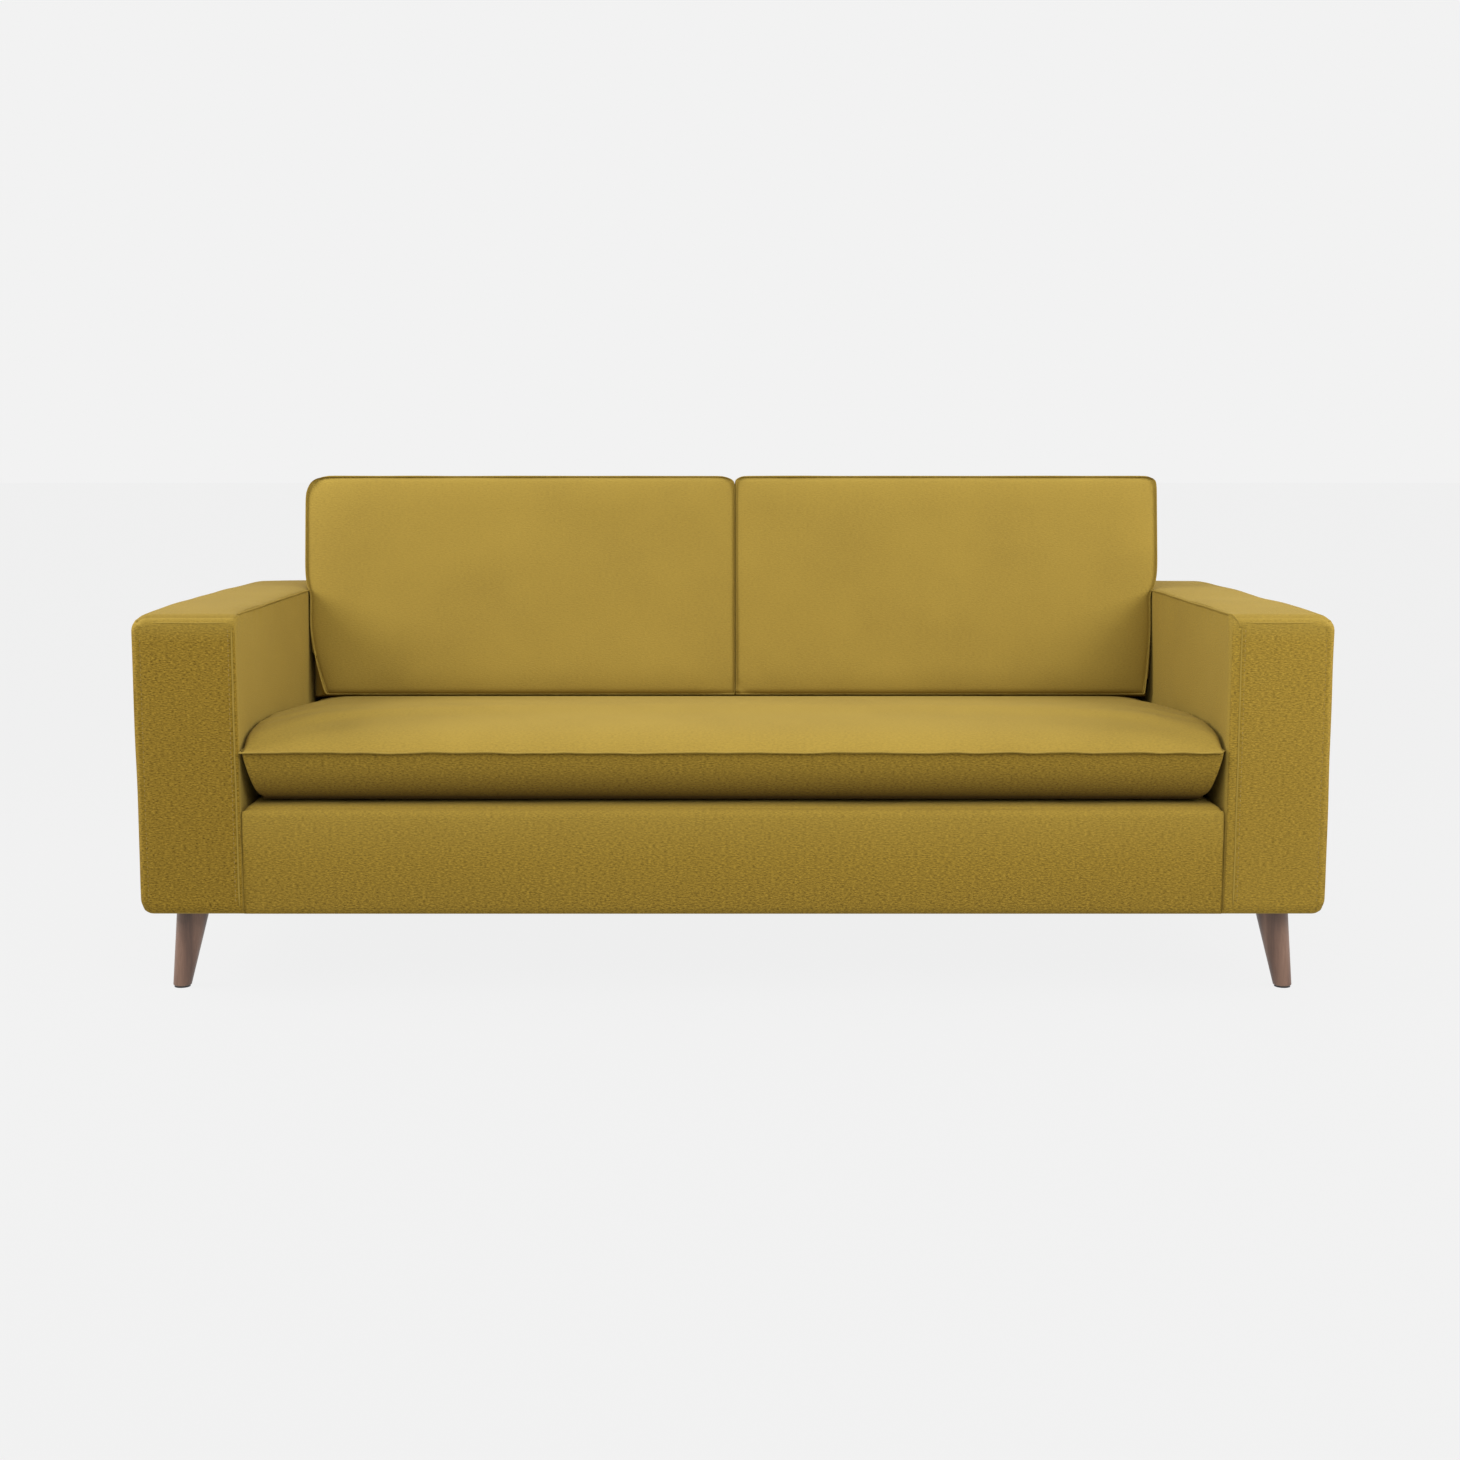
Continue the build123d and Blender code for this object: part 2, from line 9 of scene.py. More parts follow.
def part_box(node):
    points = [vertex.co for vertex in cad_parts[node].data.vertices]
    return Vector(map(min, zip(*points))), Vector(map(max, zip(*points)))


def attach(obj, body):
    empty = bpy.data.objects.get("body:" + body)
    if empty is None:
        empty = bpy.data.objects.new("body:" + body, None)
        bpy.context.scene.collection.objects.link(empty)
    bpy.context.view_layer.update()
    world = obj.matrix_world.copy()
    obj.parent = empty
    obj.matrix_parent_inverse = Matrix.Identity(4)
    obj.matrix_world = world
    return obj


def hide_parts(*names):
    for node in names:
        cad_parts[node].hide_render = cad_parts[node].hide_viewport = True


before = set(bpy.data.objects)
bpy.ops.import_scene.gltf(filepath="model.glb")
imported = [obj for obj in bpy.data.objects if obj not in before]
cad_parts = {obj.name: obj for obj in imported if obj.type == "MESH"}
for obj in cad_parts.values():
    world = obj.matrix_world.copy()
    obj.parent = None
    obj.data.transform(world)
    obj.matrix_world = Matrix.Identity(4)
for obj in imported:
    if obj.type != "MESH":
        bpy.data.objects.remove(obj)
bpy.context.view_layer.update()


# ------------------------------------------------------------------ legs
# Four round legs, turned to a taper and splayed outward, of beech stained walnut brown.
# Each is cut level top and bottom, and stands on a thin plastic glide.

def new_material(name, roughness):
    """An empty material with a Principled shader, ready for its nodes."""
    made = bpy.data.materials.new(name)
    made.use_nodes = True
    made.node_tree.nodes["Principled BSDF"].inputs["Roughness"].default_value = roughness
    return made


def add_node(material, kind, sockets, **settings):
    """Adds a shader node. A socket takes a value, or the output of another node."""
    made = material.node_tree.nodes.new("ShaderNode" + kind)
    for key, value in settings.items():
        setattr(made, key, value)
    for key, value in sockets.items():
        if isinstance(value, bpy.types.NodeSocket):
            material.node_tree.links.new(value, made.inputs[key])
        else:
            made.inputs[key].default_value = value
    return made


def to_shader(material, **sockets):
    """Sets sockets of the material's Principled shader. An underscore stands for a space."""
    shader = material.node_tree.nodes["Principled BSDF"]
    for key, value in sockets.items():
        socket = shader.inputs[key.replace("_", " ")]
        if isinstance(value, bpy.types.NodeSocket):
            material.node_tree.links.new(value, socket)
        else:
            socket.default_value = value


def tones(material, factor, *stops):
    """A colour ramp from (place, (r, g, b)) stops. Returns its colour output."""
    made = add_node(material, "ValToRGB", {"Fac": factor})
    ramp = made.color_ramp
    while len(ramp.elements) < len(stops):
        ramp.elements.new(0.5)
    for element, (place, colour) in zip(ramp.elements, stops):
        element.position = place
        element.color = (*colour, 1)
    return made.outputs["Color"]


def levels(material, factor, low, high):
    """Stretches a 0 to 1 value to run from low to high."""
    sockets = {"Value": factor, "To Min": low, "To Max": high}
    return add_node(material, "MapRange", sockets).outputs["Result"]


def bumped(material, height, strength, distance):
    """A bump from a height. Returns its normal output."""
    sockets = {"Height": height, "Strength": strength, "Distance": distance}
    return add_node(material, "Bump", sockets).outputs["Normal"]


def timber(name, along, dark, middle, light, roughness=0.5, rings=9.0):
    """Wood whose grain runs along one axis of the piece: rings, pores and a soft drift of tone."""
    made = new_material(name, roughness)
    place = add_node(made, "TexCoord", {}).outputs["Object"]
    stretch = [1.0, 1.0, 1.0]
    stretch[along] = 0.06
    grain = add_node(made, "Mapping", {"Vector": place, "Scale": stretch}).outputs["Vector"]
    drift = add_node(made, "TexNoise", {"Vector": grain, "Scale": 12.0, "Detail": 3.0}).outputs["Fac"]
    sockets = {"Vector": grain, "Scale": rings, "Distortion": 5.0, "Detail": 3.0, "Detail Scale": 2.0}
    ring = add_node(made, "TexWave", sockets, wave_type="RINGS", rings_direction="XYZ"[along]).outputs["Fac"]
    fine = add_node(made, "TexNoise", {"Vector": grain, "Scale": 420.0, "Detail": 4.0}).outputs["Fac"]
    blend = add_node(made, "Mix", {"Factor": 0.45, "A": drift, "B": ring}).outputs["Result"]
    mixed = add_node(made, "Mix", {"Factor": 0.35, "A": blend, "B": fine}).outputs["Result"]
    colour = tones(made, mixed, (0.22, dark), (0.5, middle), (0.78, light))
    to_shader(made, Base_Color=colour, Roughness=levels(made, fine, roughness - 0.1, roughness + 0.12))
    to_shader(made, Normal=bumped(made, fine, 0.25, 0.0006))
    return made


def finish_nodes(material, *names):
    """Gives CAD pieces that keep their own shape a finish."""
    for name in names:
        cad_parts[name].material_slots[0].material = material


X, Y, Z = 0, 1, 2
walnut = timber("walnut_stain", Z, (0.055, 0.026, 0.016), (0.115, 0.058, 0.036), (0.19, 0.105, 0.068), 0.42)
to_shader(walnut, Coat_Weight=0.18, Coat_Roughness=0.32)
finish_nodes(walnut, "front_left_leg", "front_right_leg", "rear_left_leg", "rear_right_leg")

glide_plastic = new_material("glide_plastic", 0.55)
speckle = add_node(glide_plastic, "TexNoise", {"Scale": 900.0, "Detail": 2.0}).outputs["Fac"]
to_shader(glide_plastic, Base_Color=tones(glide_plastic, speckle, (0.3, (0.01,) * 3), (0.7, (0.02,) * 3)))
to_shader(glide_plastic, Normal=bumped(glide_plastic, speckle, 0.2, 0.0003))
finish_nodes(glide_plastic, "leg_glides")


# ------------------------------------------------------------------ metal fittings
# Pressed steel plates, studs, screws and bolts, bright zinc plated, with the cloudy bloom
# that plating has. The seat springs and their clips are black oiled wire.

def metal(name, dark, light, roughness, mottle=60.0):
    """Metal with cloudy plating and fine drawn marks."""
    made = new_material(name, roughness)
    place = add_node(made, "TexCoord", {}).outputs["Object"]
    cloud = add_node(made, "TexNoise", {"Vector": place, "Scale": mottle, "Detail": 5.0}).outputs["Fac"]
    to_shader(made, Base_Color=tones(made, cloud, (0.3, dark), (0.7, light)), Metallic=1.0)
    to_shader(made, Roughness=levels(made, cloud, roughness - 0.08, roughness + 0.14))
    to_shader(made, Normal=bumped(made, cloud, 0.08, 0.0004))
    return made


zinc = metal("zinc_plate", (0.52, 0.52, 0.5), (0.74, 0.73, 0.7), 0.34)
finish_nodes(zinc, "leg_studs", "leg_plates", "leg_plate_screws", "arm_bolts")
spring_wire = metal("oiled_wire", (0.03, 0.03, 0.033), (0.09, 0.088, 0.085), 0.42)
finish_nodes(spring_wire, "seat_springs", "spring_clips")
zip_metal = metal("zip_slider_metal", (0.3, 0.26, 0.19), (0.47, 0.42, 0.32), 0.36)
finish_nodes(zip_metal, *(f"{place}_zip_slider" for place in
                          ("seat_cushion", "left_back_cushion", "right_back_cushion")))


# ------------------------------------------------------------------ timber frame
# Planed softwood rails, plywood ends and posts, and thin hardboard on the sides of the arms,
# all glued and stapled. It is hidden once the sofa is covered.

pine = ((0.42, 0.27, 0.12), (0.58, 0.4, 0.2), (0.7, 0.52, 0.3))
finish_nodes(timber("pine_along_x", X, *pine), "front_rail", "rear_rail", "back_top_rail",
             "back_lumbar_rails", "corner_blocks")
finish_nodes(timber("pine_along_y", Y, *pine), "left_side_rail", "right_side_rail", "cross_rails",
             "left_arm_bottom_board", "right_arm_bottom_board")
birch = ((0.45, 0.3, 0.16), (0.56, 0.4, 0.23), (0.66, 0.5, 0.31))
finish_nodes(timber("plywood_upright", Z, *birch, rings=4.0), "back_posts", "left_arm_front_board",
             "left_arm_rear_board", "right_arm_front_board", "right_arm_rear_board")
finish_nodes(timber("plywood_flat", Y, *birch, rings=4.0), "left_arm_top_board", "right_arm_top_board")

hardboard = new_material("hardboard", 0.6)
pulp = add_node(hardboard, "TexNoise", {"Scale": 260.0, "Detail": 6.0}).outputs["Fac"]
to_shader(hardboard, Normal=bumped(hardboard, pulp, 0.3, 0.0005),
          Base_Color=tones(hardboard, pulp, (0.35, (0.1, 0.052, 0.025)), (0.65, (0.19, 0.11, 0.06))))
finish_nodes(hardboard, "left_arm_inner_panel", "left_arm_outer_panel",
             "right_arm_inner_panel", "right_arm_outer_panel")


# ------------------------------------------------------------------ felt and webbing
# Needled waste felt lies over the springs so that they don't cut the foam, and black elastic
# webbing with rubber threads is strained across the back posts.

def fibres(name, dark, light, along=(1.0, 1.0, 1.0), scale=300.0):
    """A matt fibrous cloth whose threads are stretched along the axes that along makes small."""
    made = new_material(name, 0.92)
    place = add_node(made, "TexCoord", {}).outputs["Object"]
    stretched = add_node(made, "Mapping", {"Vector": place, "Scale": along}).outputs["Vector"]
    thread = add_node(made, "TexNoise", {"Vector": stretched, "Scale": scale, "Detail": 5.0}).outputs["Fac"]
    to_shader(made, Base_Color=tones(made, thread, (0.35, dark), (0.65, light)))
    to_shader(made, Normal=bumped(made, thread, 0.5, 0.001))
    return made


finish_nodes(fibres("needled_felt", (0.14, 0.13, 0.12), (0.33, 0.32, 0.3)), "spring_insulator")
finish_nodes(fibres("elastic_webbing", (0.012, 0.011, 0.01), (0.045, 0.042, 0.036), (0.1, 1.0, 4.0)),
             "back_webbing")


# ------------------------------------------------------------------ arms
# Each arm is foam over the frame, in one front panel, one long panel over the top and outside,
# and an inside panel. The inside panel's top seam is a folded welt; the front has topstitching.

def mustard_cloth(name):
    """Chenille in mustard: short slubs across the piece, finer threads between and a fuzzy pile.
    One attribute says how coarse the weave shows and, with it, blends in a darker and browner
    tone for faces turned from the light, partly painted shade. The other darkens the colour
    towards deep brown where shade falls: painted shade."""
    made = new_material(name, 0.95)
    weave = add_node(made, "UVMap", {}, uv_map="weave").outputs["UV"]

    def strands(along, across):
        """Noise with that many lumps to the metre along and across the ribs."""
        scaled = {"Vector": weave, "Scale": (along, across, 1.0)}
        place = add_node(made, "Mapping", scaled).outputs["Vector"]
        return add_node(made, "TexNoise", {"Vector": place, "Scale": 1.0, "Detail": 2.0}).outputs["Fac"]

    slub, threads = strands(150.0, 520.0), strands(260.0, 620.0)
    fuzz = add_node(made, "TexNoise", {"Vector": weave, "Scale": 1600.0, "Detail": 3.0}).outputs["Fac"]
    cloud = add_node(made, "TexNoise", {"Vector": weave, "Scale": 5.0, "Detail": 5.0}).outputs["Fac"]
    woven = add_node(made, "Mix", {"Factor": 0.45, "A": slub, "B": threads}).outputs["Result"]
    height = add_node(made, "Mix", {"Factor": 0.15, "A": woven, "B": fuzz}).outputs["Result"]
    mottled = add_node(made, "Mix", {"Factor": 0.3, "A": height, "B": cloud}).outputs["Result"]
    # The calm tone, lighter and yellower, goes on faces turned to the light, and the coarse tone, darker and
    # browner, on faces turned away: coarser weave and painted shade together.
    calm_lit_tone = tones(made, mottled, (0.38, (0.217, 0.146, 0.0265)), (0.5, (0.25, 0.17, 0.03)),
                 (0.62, (0.272, 0.186, 0.033)))
    coarse_shaded_tone = tones(made, height, (0.38, (0.1, 0.06, 0.006)), (0.5, (0.235, 0.147, 0.0165)),
                   (0.62, (0.355, 0.227, 0.026)))
    rib_and_shade = add_node(made, "Attribute", {}, attribute_name="rib_and_shade").outputs["Fac"]
    painted_shade = add_node(made, "Attribute", {}, attribute_name="painted_shade").outputs["Fac"]
    colour = add_node(made, "Mix", {0: rib_and_shade, 6: calm_lit_tone, 7: coarse_shaded_tone}, data_type="RGBA").outputs[2]
    # Painted shade: the colour is pulled towards this deep brown where shade falls.
    painted_shade_colour = (0.045, 0.021, 0.0015, 1)
    shaded = add_node(made, "Mix", {0: painted_shade, 6: colour, 7: painted_shade_colour}, data_type="RGBA").outputs[2]
    to_shader(made, Base_Color=shaded, Normal=bumped(made, height, levels(made, rib_and_shade, 0.3, 0.9), 0.003))
    to_shader(made, Sheen_Weight=0.05, Sheen_Roughness=0.5, Sheen_Tint=(1.0, 0.85, 0.35, 1))
    to_shader(made, Specular_IOR_Level=0.12)
    return made


cloth = mustard_cloth("mustard_chenille")


def stops(low, high, wide, close=0.002, margin=0.014):
    """Places from low to high, close together near both ends and wide apart between."""
    edge = np.arange(0, margin, close)
    count = max(2, round((high - low - 2 * margin) / wide) + 1)
    return np.concatenate([low + edge, np.linspace(low + margin, high - margin, count), high - edge[::-1]])


def put_in(name, data):
    """Puts new data in the scene as an object of that name."""
    made = bpy.data.objects.new(name, data)
    bpy.context.scene.collection.objects.link(made)
    return made


def mesh_piece(name, points, faces, material=None):
    """A new piece from its points and faces. One that is still to be reshaped has no finish yet."""
    mesh = bpy.data.meshes.new(name)
    mesh.from_pydata(points, [], faces)
    if material:
        mesh.materials.append(material)
    return put_in(name, mesh)


def block(name, xs, ys, zs):
    """A closed skin over a box. Its weave map is in metres: ribs run along u on every side."""
    grid = (xs, ys, zs)
    number, points, faces, weave = {}, [], [], []
    for axis in (X, Y, Z):
        a, b = (axis + 1) % 3, (axis + 2) % 3
        for end in (0, len(grid[axis]) - 1):
            for i in range(len(grid[a]) - 1):
                for j in range(len(grid[b]) - 1):
                    ring = [(i, j), (i + 1, j), (i + 1, j + 1), (i, j + 1)]
                    if end == 0:
                        ring.reverse()
                    face = []
                    for p, q in ring:
                        key = [0, 0, 0]
                        key[axis], key[a], key[b] = end, p, q
                        key = tuple(key)
                        if key not in number:
                            number[key] = len(points)
                            points.append([grid[k][key[k]] for k in (X, Y, Z)])
                        face.append(number[key])
                        x, y, z = points[number[key]]
                        weave.append((y, z) if axis == X else (x, y + z))
                    faces.append(face)
    piece = mesh_piece(name, points, faces)
    piece.data.uv_layers.new(name="weave").data.foreach_set("uv", np.array(weave, np.float32).ravel())
    piece.data.attributes.new("painted_shade", "FLOAT", "POINT")
    piece.data.attributes.new("rib_and_shade", "FLOAT", "POINT")
    return piece, np.array(points)


def reshape(piece, points, material=None):
    """Puts the piece's points in new places, shades it smooth and gives it its finish."""
    piece.data.vertices.foreach_set("co", points.astype(np.float32).ravel())
    piece.data.shade_smooth()
    piece.data.update()
    if material:
        piece.data.materials.append(material)


def paint_shade(piece, painted_shade, rib_and_shade):
    """Painted shade at each point, 0 to 1, and how coarse the weave shows, which also paints a darker,
    browner tone.
    """
    piece.data.attributes["painted_shade"].data.foreach_set("value", painted_shade.astype(np.float32))
    piece.data.attributes["rib_and_shade"].data.foreach_set("value", rib_and_shade.astype(np.float32))


def round_edge(points, axis_a, a, side_a, axis_b, b, side_b, radius):
    """Rounds the edge where the side at a on one axis meets the side at b on another."""
    out_a = side_a * (points[:, axis_a] - a) + radius
    out_b = side_b * (points[:, axis_b] - b) + radius
    near = (out_a > 0) & (out_b > 0)
    shrink = np.maximum(out_a, out_b)[near] / np.hypot(out_a, out_b)[near]
    points[near, axis_a] = a + side_a * (out_a[near] * shrink - radius)
    points[near, axis_b] = b + side_b * (out_b[near] * shrink - radius)


def middle_swell(flat, axis, power=4):
    """1 in the middle of each side that faces along an axis, falling to 0 at that side's edges."""
    low, high = flat.min(0), flat.max(0)
    swell = np.ones(len(flat))
    for other in (X, Y, Z):
        if other != axis:
            share = np.abs(2 * (flat[:, other] - low[other]) / (high[other] - low[other]) - 1)
            swell *= 1 - share ** power
    return swell


def on_side(flat, axis, side):
    """Which points lie on the box's low (-1) or high (1) side of an axis."""
    end = flat[:, axis].max() if side > 0 else flat[:, axis].min()
    return np.abs(flat[:, axis] - end) < 1e-6


def drift(points, size, seed):
    """Smooth unevenness from -1 to 1 at each point, with lumps of about that size."""
    shift = Vector((seed * 7.3, seed * 3.1, seed * 5.7))
    return np.array([noise.noise(Vector(p) / size + shift) for p in points])


def skin_of(piece):
    """A search tree over the piece's finished surface."""
    return BVHTree.FromObject(piece, bpy.context.evaluated_depsgraph_get())


def laid_on(tree, points, outward, reach=0.06):
    """Moves points onto a surface along the direction that outward gives, where it is met."""
    laid = []
    for point, out in zip(points, outward):
        hit = tree.ray_cast(Vector(point) + Vector(out) * reach, -Vector(out), 2 * reach)[0]
        laid.append(hit if hit else Vector(point))
    return laid


def tube(first, rings, sides, closed=False):
    """Faces of a tube whose points run ring after ring from number first: a loop, or shut at both ends."""
    faces = []
    for i in range(rings if closed else rings - 1):
        here, there = first + i * sides, first + ((i + 1) % rings) * sides
        for k in range(sides):
            faces.append((here + k, here + (k + 1) % sides, there + (k + 1) % sides, there + k))
    if not closed:
        last = first + (rings - 1) * sides
        faces.append(tuple(reversed(range(first, first + sides))))
        faces.append(tuple(range(last, last + sides)))
    return faces


def welt(name, path, outward, width, thick, wander=0.0004, closed=False):
    """A folded strip of cloth sewn into a seam, standing out of it along outward."""
    sides = 8
    count = len(path)
    points, weave = [], []
    run = 0.0
    for i, (point, out) in enumerate(zip(path, outward)):
        ahead = path[(i + 1) % count] if closed else path[min(i + 1, count - 1)]
        behind = path[i - 1] if closed else path[max(i - 1, 0)]
        along = (Vector(ahead) - Vector(behind)).normalized()
        out = Vector(out).normalized()
        across = along.cross(out).normalized()
        if i:
            run += (Vector(point) - Vector(path[i - 1])).length
        end_near = 1.0 if closed else min(1.0, 0.35 + 0.65 * min(i, count - 1 - i) / 2)
        sway = noise.noise(Vector((run * 14, len(name), 0))) * wander
        for k in range(sides):
            turn = 2 * math.pi * k / sides
            lift = (math.cos(turn) * 0.5 + 0.25) * width * end_near
            offset = out * lift + across * (math.sin(turn) * thick * 0.5 * end_near + sway)
            points.append(Vector(point) + offset)
    made = mesh_piece(name, points, tube(0, count, sides, closed), cloth)
    mesh = made.data
    for face in mesh.polygons:
        for corner in face.loop_indices:
            vertex = mesh.loops[corner].vertex_index
            weave.append((points[vertex].x + points[vertex].y, (vertex % sides) * width / 4))
    mesh.uv_layers.new(name="weave").data.foreach_set("uv", np.array(weave, np.float32).ravel())
    mesh.shade_smooth()
    return made


thread = new_material("mustard_thread", 0.6)
ply = add_node(thread, "TexNoise", {"Scale": 1800.0, "Detail": 2.0}).outputs["Fac"]
to_shader(thread, Base_Color=tones(thread, ply, (0.3, (0.17, 0.105, 0.012)), (0.7, (0.28, 0.185, 0.025))))
to_shader(thread, Normal=bumped(thread, ply, 0.4, 0.0004), Sheen_Weight=0.1)


def topstitch(name, path, outward, length=0.0052, gap=0.0032, thick=0.0011):
    """A row of raised machine stitches along a path on a surface."""
    rings = ((0.0, 0.25), (0.2, 0.85), (0.5, 1.0), (0.8, 0.85), (1.0, 0.25))
    sides = 6
    points, faces = [], []
    lengths = [0.0]
    for a, b in zip(path, path[1:]):
        lengths.append(lengths[-1] + (Vector(b) - Vector(a)).length)
    start = gap
    while start + length < lengths[-1]:
        first = len(points)
        for share, size in rings:
            reach = start + share * length
            i = min(max(np.searchsorted(lengths, reach) - 1, 0), len(path) - 2)
            part = (reach - lengths[i]) / max(lengths[i + 1] - lengths[i], 1e-9)
            centre = Vector(path[i]).lerp(Vector(path[i + 1]), part)
            out = Vector(outward[i]).lerp(Vector(outward[i + 1]), part).normalized()
            along = (Vector(path[i + 1]) - Vector(path[i])).normalized()
            across = along.cross(out).normalized()
            sink = out * (size - 0.75) * thick * 0.5
            for k in range(sides):
                turn = 2 * math.pi * k / sides
                offset = out * math.cos(turn) + across * math.sin(turn)
                points.append(centre + sink + offset * thick * 0.5 * size)
        faces += tube(first, len(rings), sides)
        start += length + gap
    made = mesh_piece(name, points, faces, thread)
    made.data.shade_smooth()
    return made


def line(start, end, step=0.008):
    """Even points from start to end."""
    start, end = Vector(start), Vector(end)
    count = max(2, round((end - start).length / step))
    return [start.lerp(end, i / count) for i in range(count + 1)]


def pucker(flat, along, distance, seed, deep=0.0012, reach=0.012):
    """Small gathers that run out from a seam: depth at each point from its distance to the seam."""
    ripple = np.array([noise.noise(Vector((p * 42, seed * 3.7, 0))) for p in flat[:, along]])
    return ripple * deep * np.exp(-distance / reach)


def roll_under(points, to_edge, above):
    """Lowers the padding where it is pulled round the bottom edge: to_edge is the distance in from
    the sides, and above the height over the underside."""
    roll = np.clip((0.026 - to_edge) / 0.014, 0, 1) * np.clip(1 - above / 0.03, 0, 1)
    points[:, Z] -= 0.009 * roll


# The two arms were covered apart, so their fullness and seams differ a little. The left arm's front and top
# get more painted shade than the right arm's.
for side_name, side, top_crown, wrap, seam_in, front_shade, top_shade, front_rib_and_shade in (
        ("left", -1, 0.007, 0.005, 0.008, 0.17, 0.24, 1.0),
        ("right", 1, 0.005, 0.014, 0.02, 0.02, 0.1, 0.7)):
    low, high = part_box(f"{side_name}_arm_cover")
    inner, outer = (high.x, low.x) if side < 0 else (low.x, high.x)
    front, rear, bottom, top = low.y, high.y, low.z, high.z
    arm, flat = block(f"{side_name}_arm", stops(low.x, high.x, 0.011, 0.003, 0.036),
                      stops(front, rear, 0.014, 0.003, 0.021), stops(bottom, top, 0.012, 0.003, 0.036))
    points = flat.copy()
    flanks = on_side(flat, X, side)
    fronts = on_side(flat, Y, -1)
    inside = on_side(flat, X, -side)
    tops = on_side(flat, Z, 1)
    loft = 0.004
    outer_face = outer + side * loft
    points[flanks, X] += side * (loft + 0.004 * middle_swell(flat, X)[flanks])
    points[fronts, Y] -= 0.004 * middle_swell(flat, Y)[fronts]
    points[tops, Z] += (top_crown * middle_swell(flat, Z, 6))[tops]
    for at in (front, rear):
        facing = -1 if at < 0 else 1
        round_edge(points, X, outer_face, side, Y, at, facing, 0.013)
        round_edge(points, X, inner, -side, Y, at, facing, wrap)
        round_edge(points, Y, at, facing, Z, top, 1, 0.018)
        round_edge(points, Y, at, facing, Z, bottom, -1, 0.014)
    round_edge(points, X, outer_face, side, Z, top, 1, 0.03)
    round_edge(points, X, outer_face, side, Z, bottom, -1, 0.022)
    round_edge(points, X, inner, -side, Z, top, 1, 0.006)
    seam_x = inner + side * seam_in
    points[fronts, Y] += pucker(flat, Z, np.abs(flat[:, X] - seam_x), 1, 0.0016)[fronts]
    points[fronts, Y] += pucker(flat, Z, np.abs(flat[:, X] - outer), 2, 0.0016)[fronts]
    points[inside, X] += side * (pucker(flat, Y, np.abs(flat[:, Z] - top), 3, 0.003, 0.03)[inside] + 0.001)
    points[tops, Z] += pucker(flat, Y, np.abs(flat[:, X] - inner), 4, 0.0024, 0.025)[tops] - 0.0008
    uneven = drift(flat, 0.11, 5 + side)
    points[:, X] += side * 0.0016 * uneven * (flanks | inside)
    points[:, Y] += 0.0014 * uneven * fronts
    points[:, Z] += 0.0022 * drift(flat, 0.16, 8 + side) * tops
    stitched_x = outer - side * 0.0125
    for groove_x in (seam_x, stitched_x):
        groove = np.exp(-((flat[:, X] - groove_x) / 0.0028) ** 2) * (flat[:, Z] < top - 0.02)
        points[fronts, Y] += 0.0014 * groove[fronts]
    to_edge = np.minimum(side * (outer - flat[:, X]), np.minimum(flat[:, Y] - front, rear - flat[:, Y]))
    roll_under(points, to_edge, flat[:, Z] - bottom)
    reshape(arm, points, cloth)
    # Painted shade on the front and outer side: none at the top edge, deepening over the first few
    # centimetres down and a little more towards the bottom. The top gets painted shade too, and the weave
    # shows coarser and browner on the front and side.
    lowness = np.clip((top - 0.02 - flat[:, Z]) / 0.5, 0, 1)
    started = np.clip((top - flat[:, Z]) / 0.045, 0, 1)
    front_side_shade = started * (front_shade + 0.06 * lowness)
    paint_shade(arm, np.where(fronts | flanks, front_side_shade, 0.0) + top_shade * tops,
            np.where(fronts | flanks, front_rib_and_shade * started, 0.12))
    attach(arm, "base")
    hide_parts(f"{side_name}_arm_cover", f"{side_name}_arm_foam")

    skin = skin_of(arm)
    welt_x = inner + side * 0.0015
    up_in = Vector((-side * 0.9, 0, 1)).normalized()
    corner = Vector((welt_x, front + 0.018, top - 0.0015))
    top_run = line(corner, (welt_x, rear - 0.012, top - 0.0015))
    sway = [Vector((0, 0, 0.0016 * noise.noise(Vector((p.y * 9, side, 0))))) for p in top_run]
    top_run = [p + w for p, w in zip(top_run, sway)]
    top_out = [up_in] * len(top_run)
    if side > 0:
        bend_start = Vector((seam_x, front, top - 0.03))
        bend_out = Vector((0, -0.7, 0.7))
        over = laid_on(skin, [corner.lerp(bend_start, i / 6) for i in range(6)], [bend_out] * 6)
        top_run, top_out = over[:0:-1] + top_run, [bend_out] * 5 + top_out
    seam = welt(f"{side_name}_arm_inside_welt", top_run, top_out, 0.0048, 0.0026, 0.0008)
    ahead = Vector((0, -1, 0))
    down = line((seam_x, front, bottom + 0.006), (seam_x, front, top - 0.022))
    front_seam = welt(f"{side_name}_arm_front_welt", laid_on(skin, down, [ahead] * len(down)),
                      [ahead] * len(down), 0.0022, 0.003, 0.0004)
    made = [seam, front_seam]
    seam_row_x = seam_x + side * 0.006
    for i, (row_x, row_top) in enumerate(((stitched_x, top - 0.034), (seam_row_x, top - 0.024))):
        row = line((row_x, front, bottom + 0.012), (row_x, front, row_top))
        outs = [ahead] * len(row)
        made.append(topstitch(f"{side_name}_arm_topstitch_{i + 1}", laid_on(skin, row, outs), outs))
    brow = Vector((0, -1, 0.45)).normalized()
    row = line((seam_row_x, front, top - 0.014), (outer - side * 0.036, front, top - 0.014))
    row = laid_on(skin, row, [brow] * len(row))
    made.append(welt(f"{side_name}_arm_top_seam", row, [brow] * len(row), 0.0012, 0.0022, 0.0003))
    for piece in made:
        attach(piece, "base")


# ------------------------------------------------------------------ front border
# A padded strip across the front of the seat base, pulled over its top edge, rolled round the
# bottom edge and stapled under the body. Its ends are tucked in beside the arms.

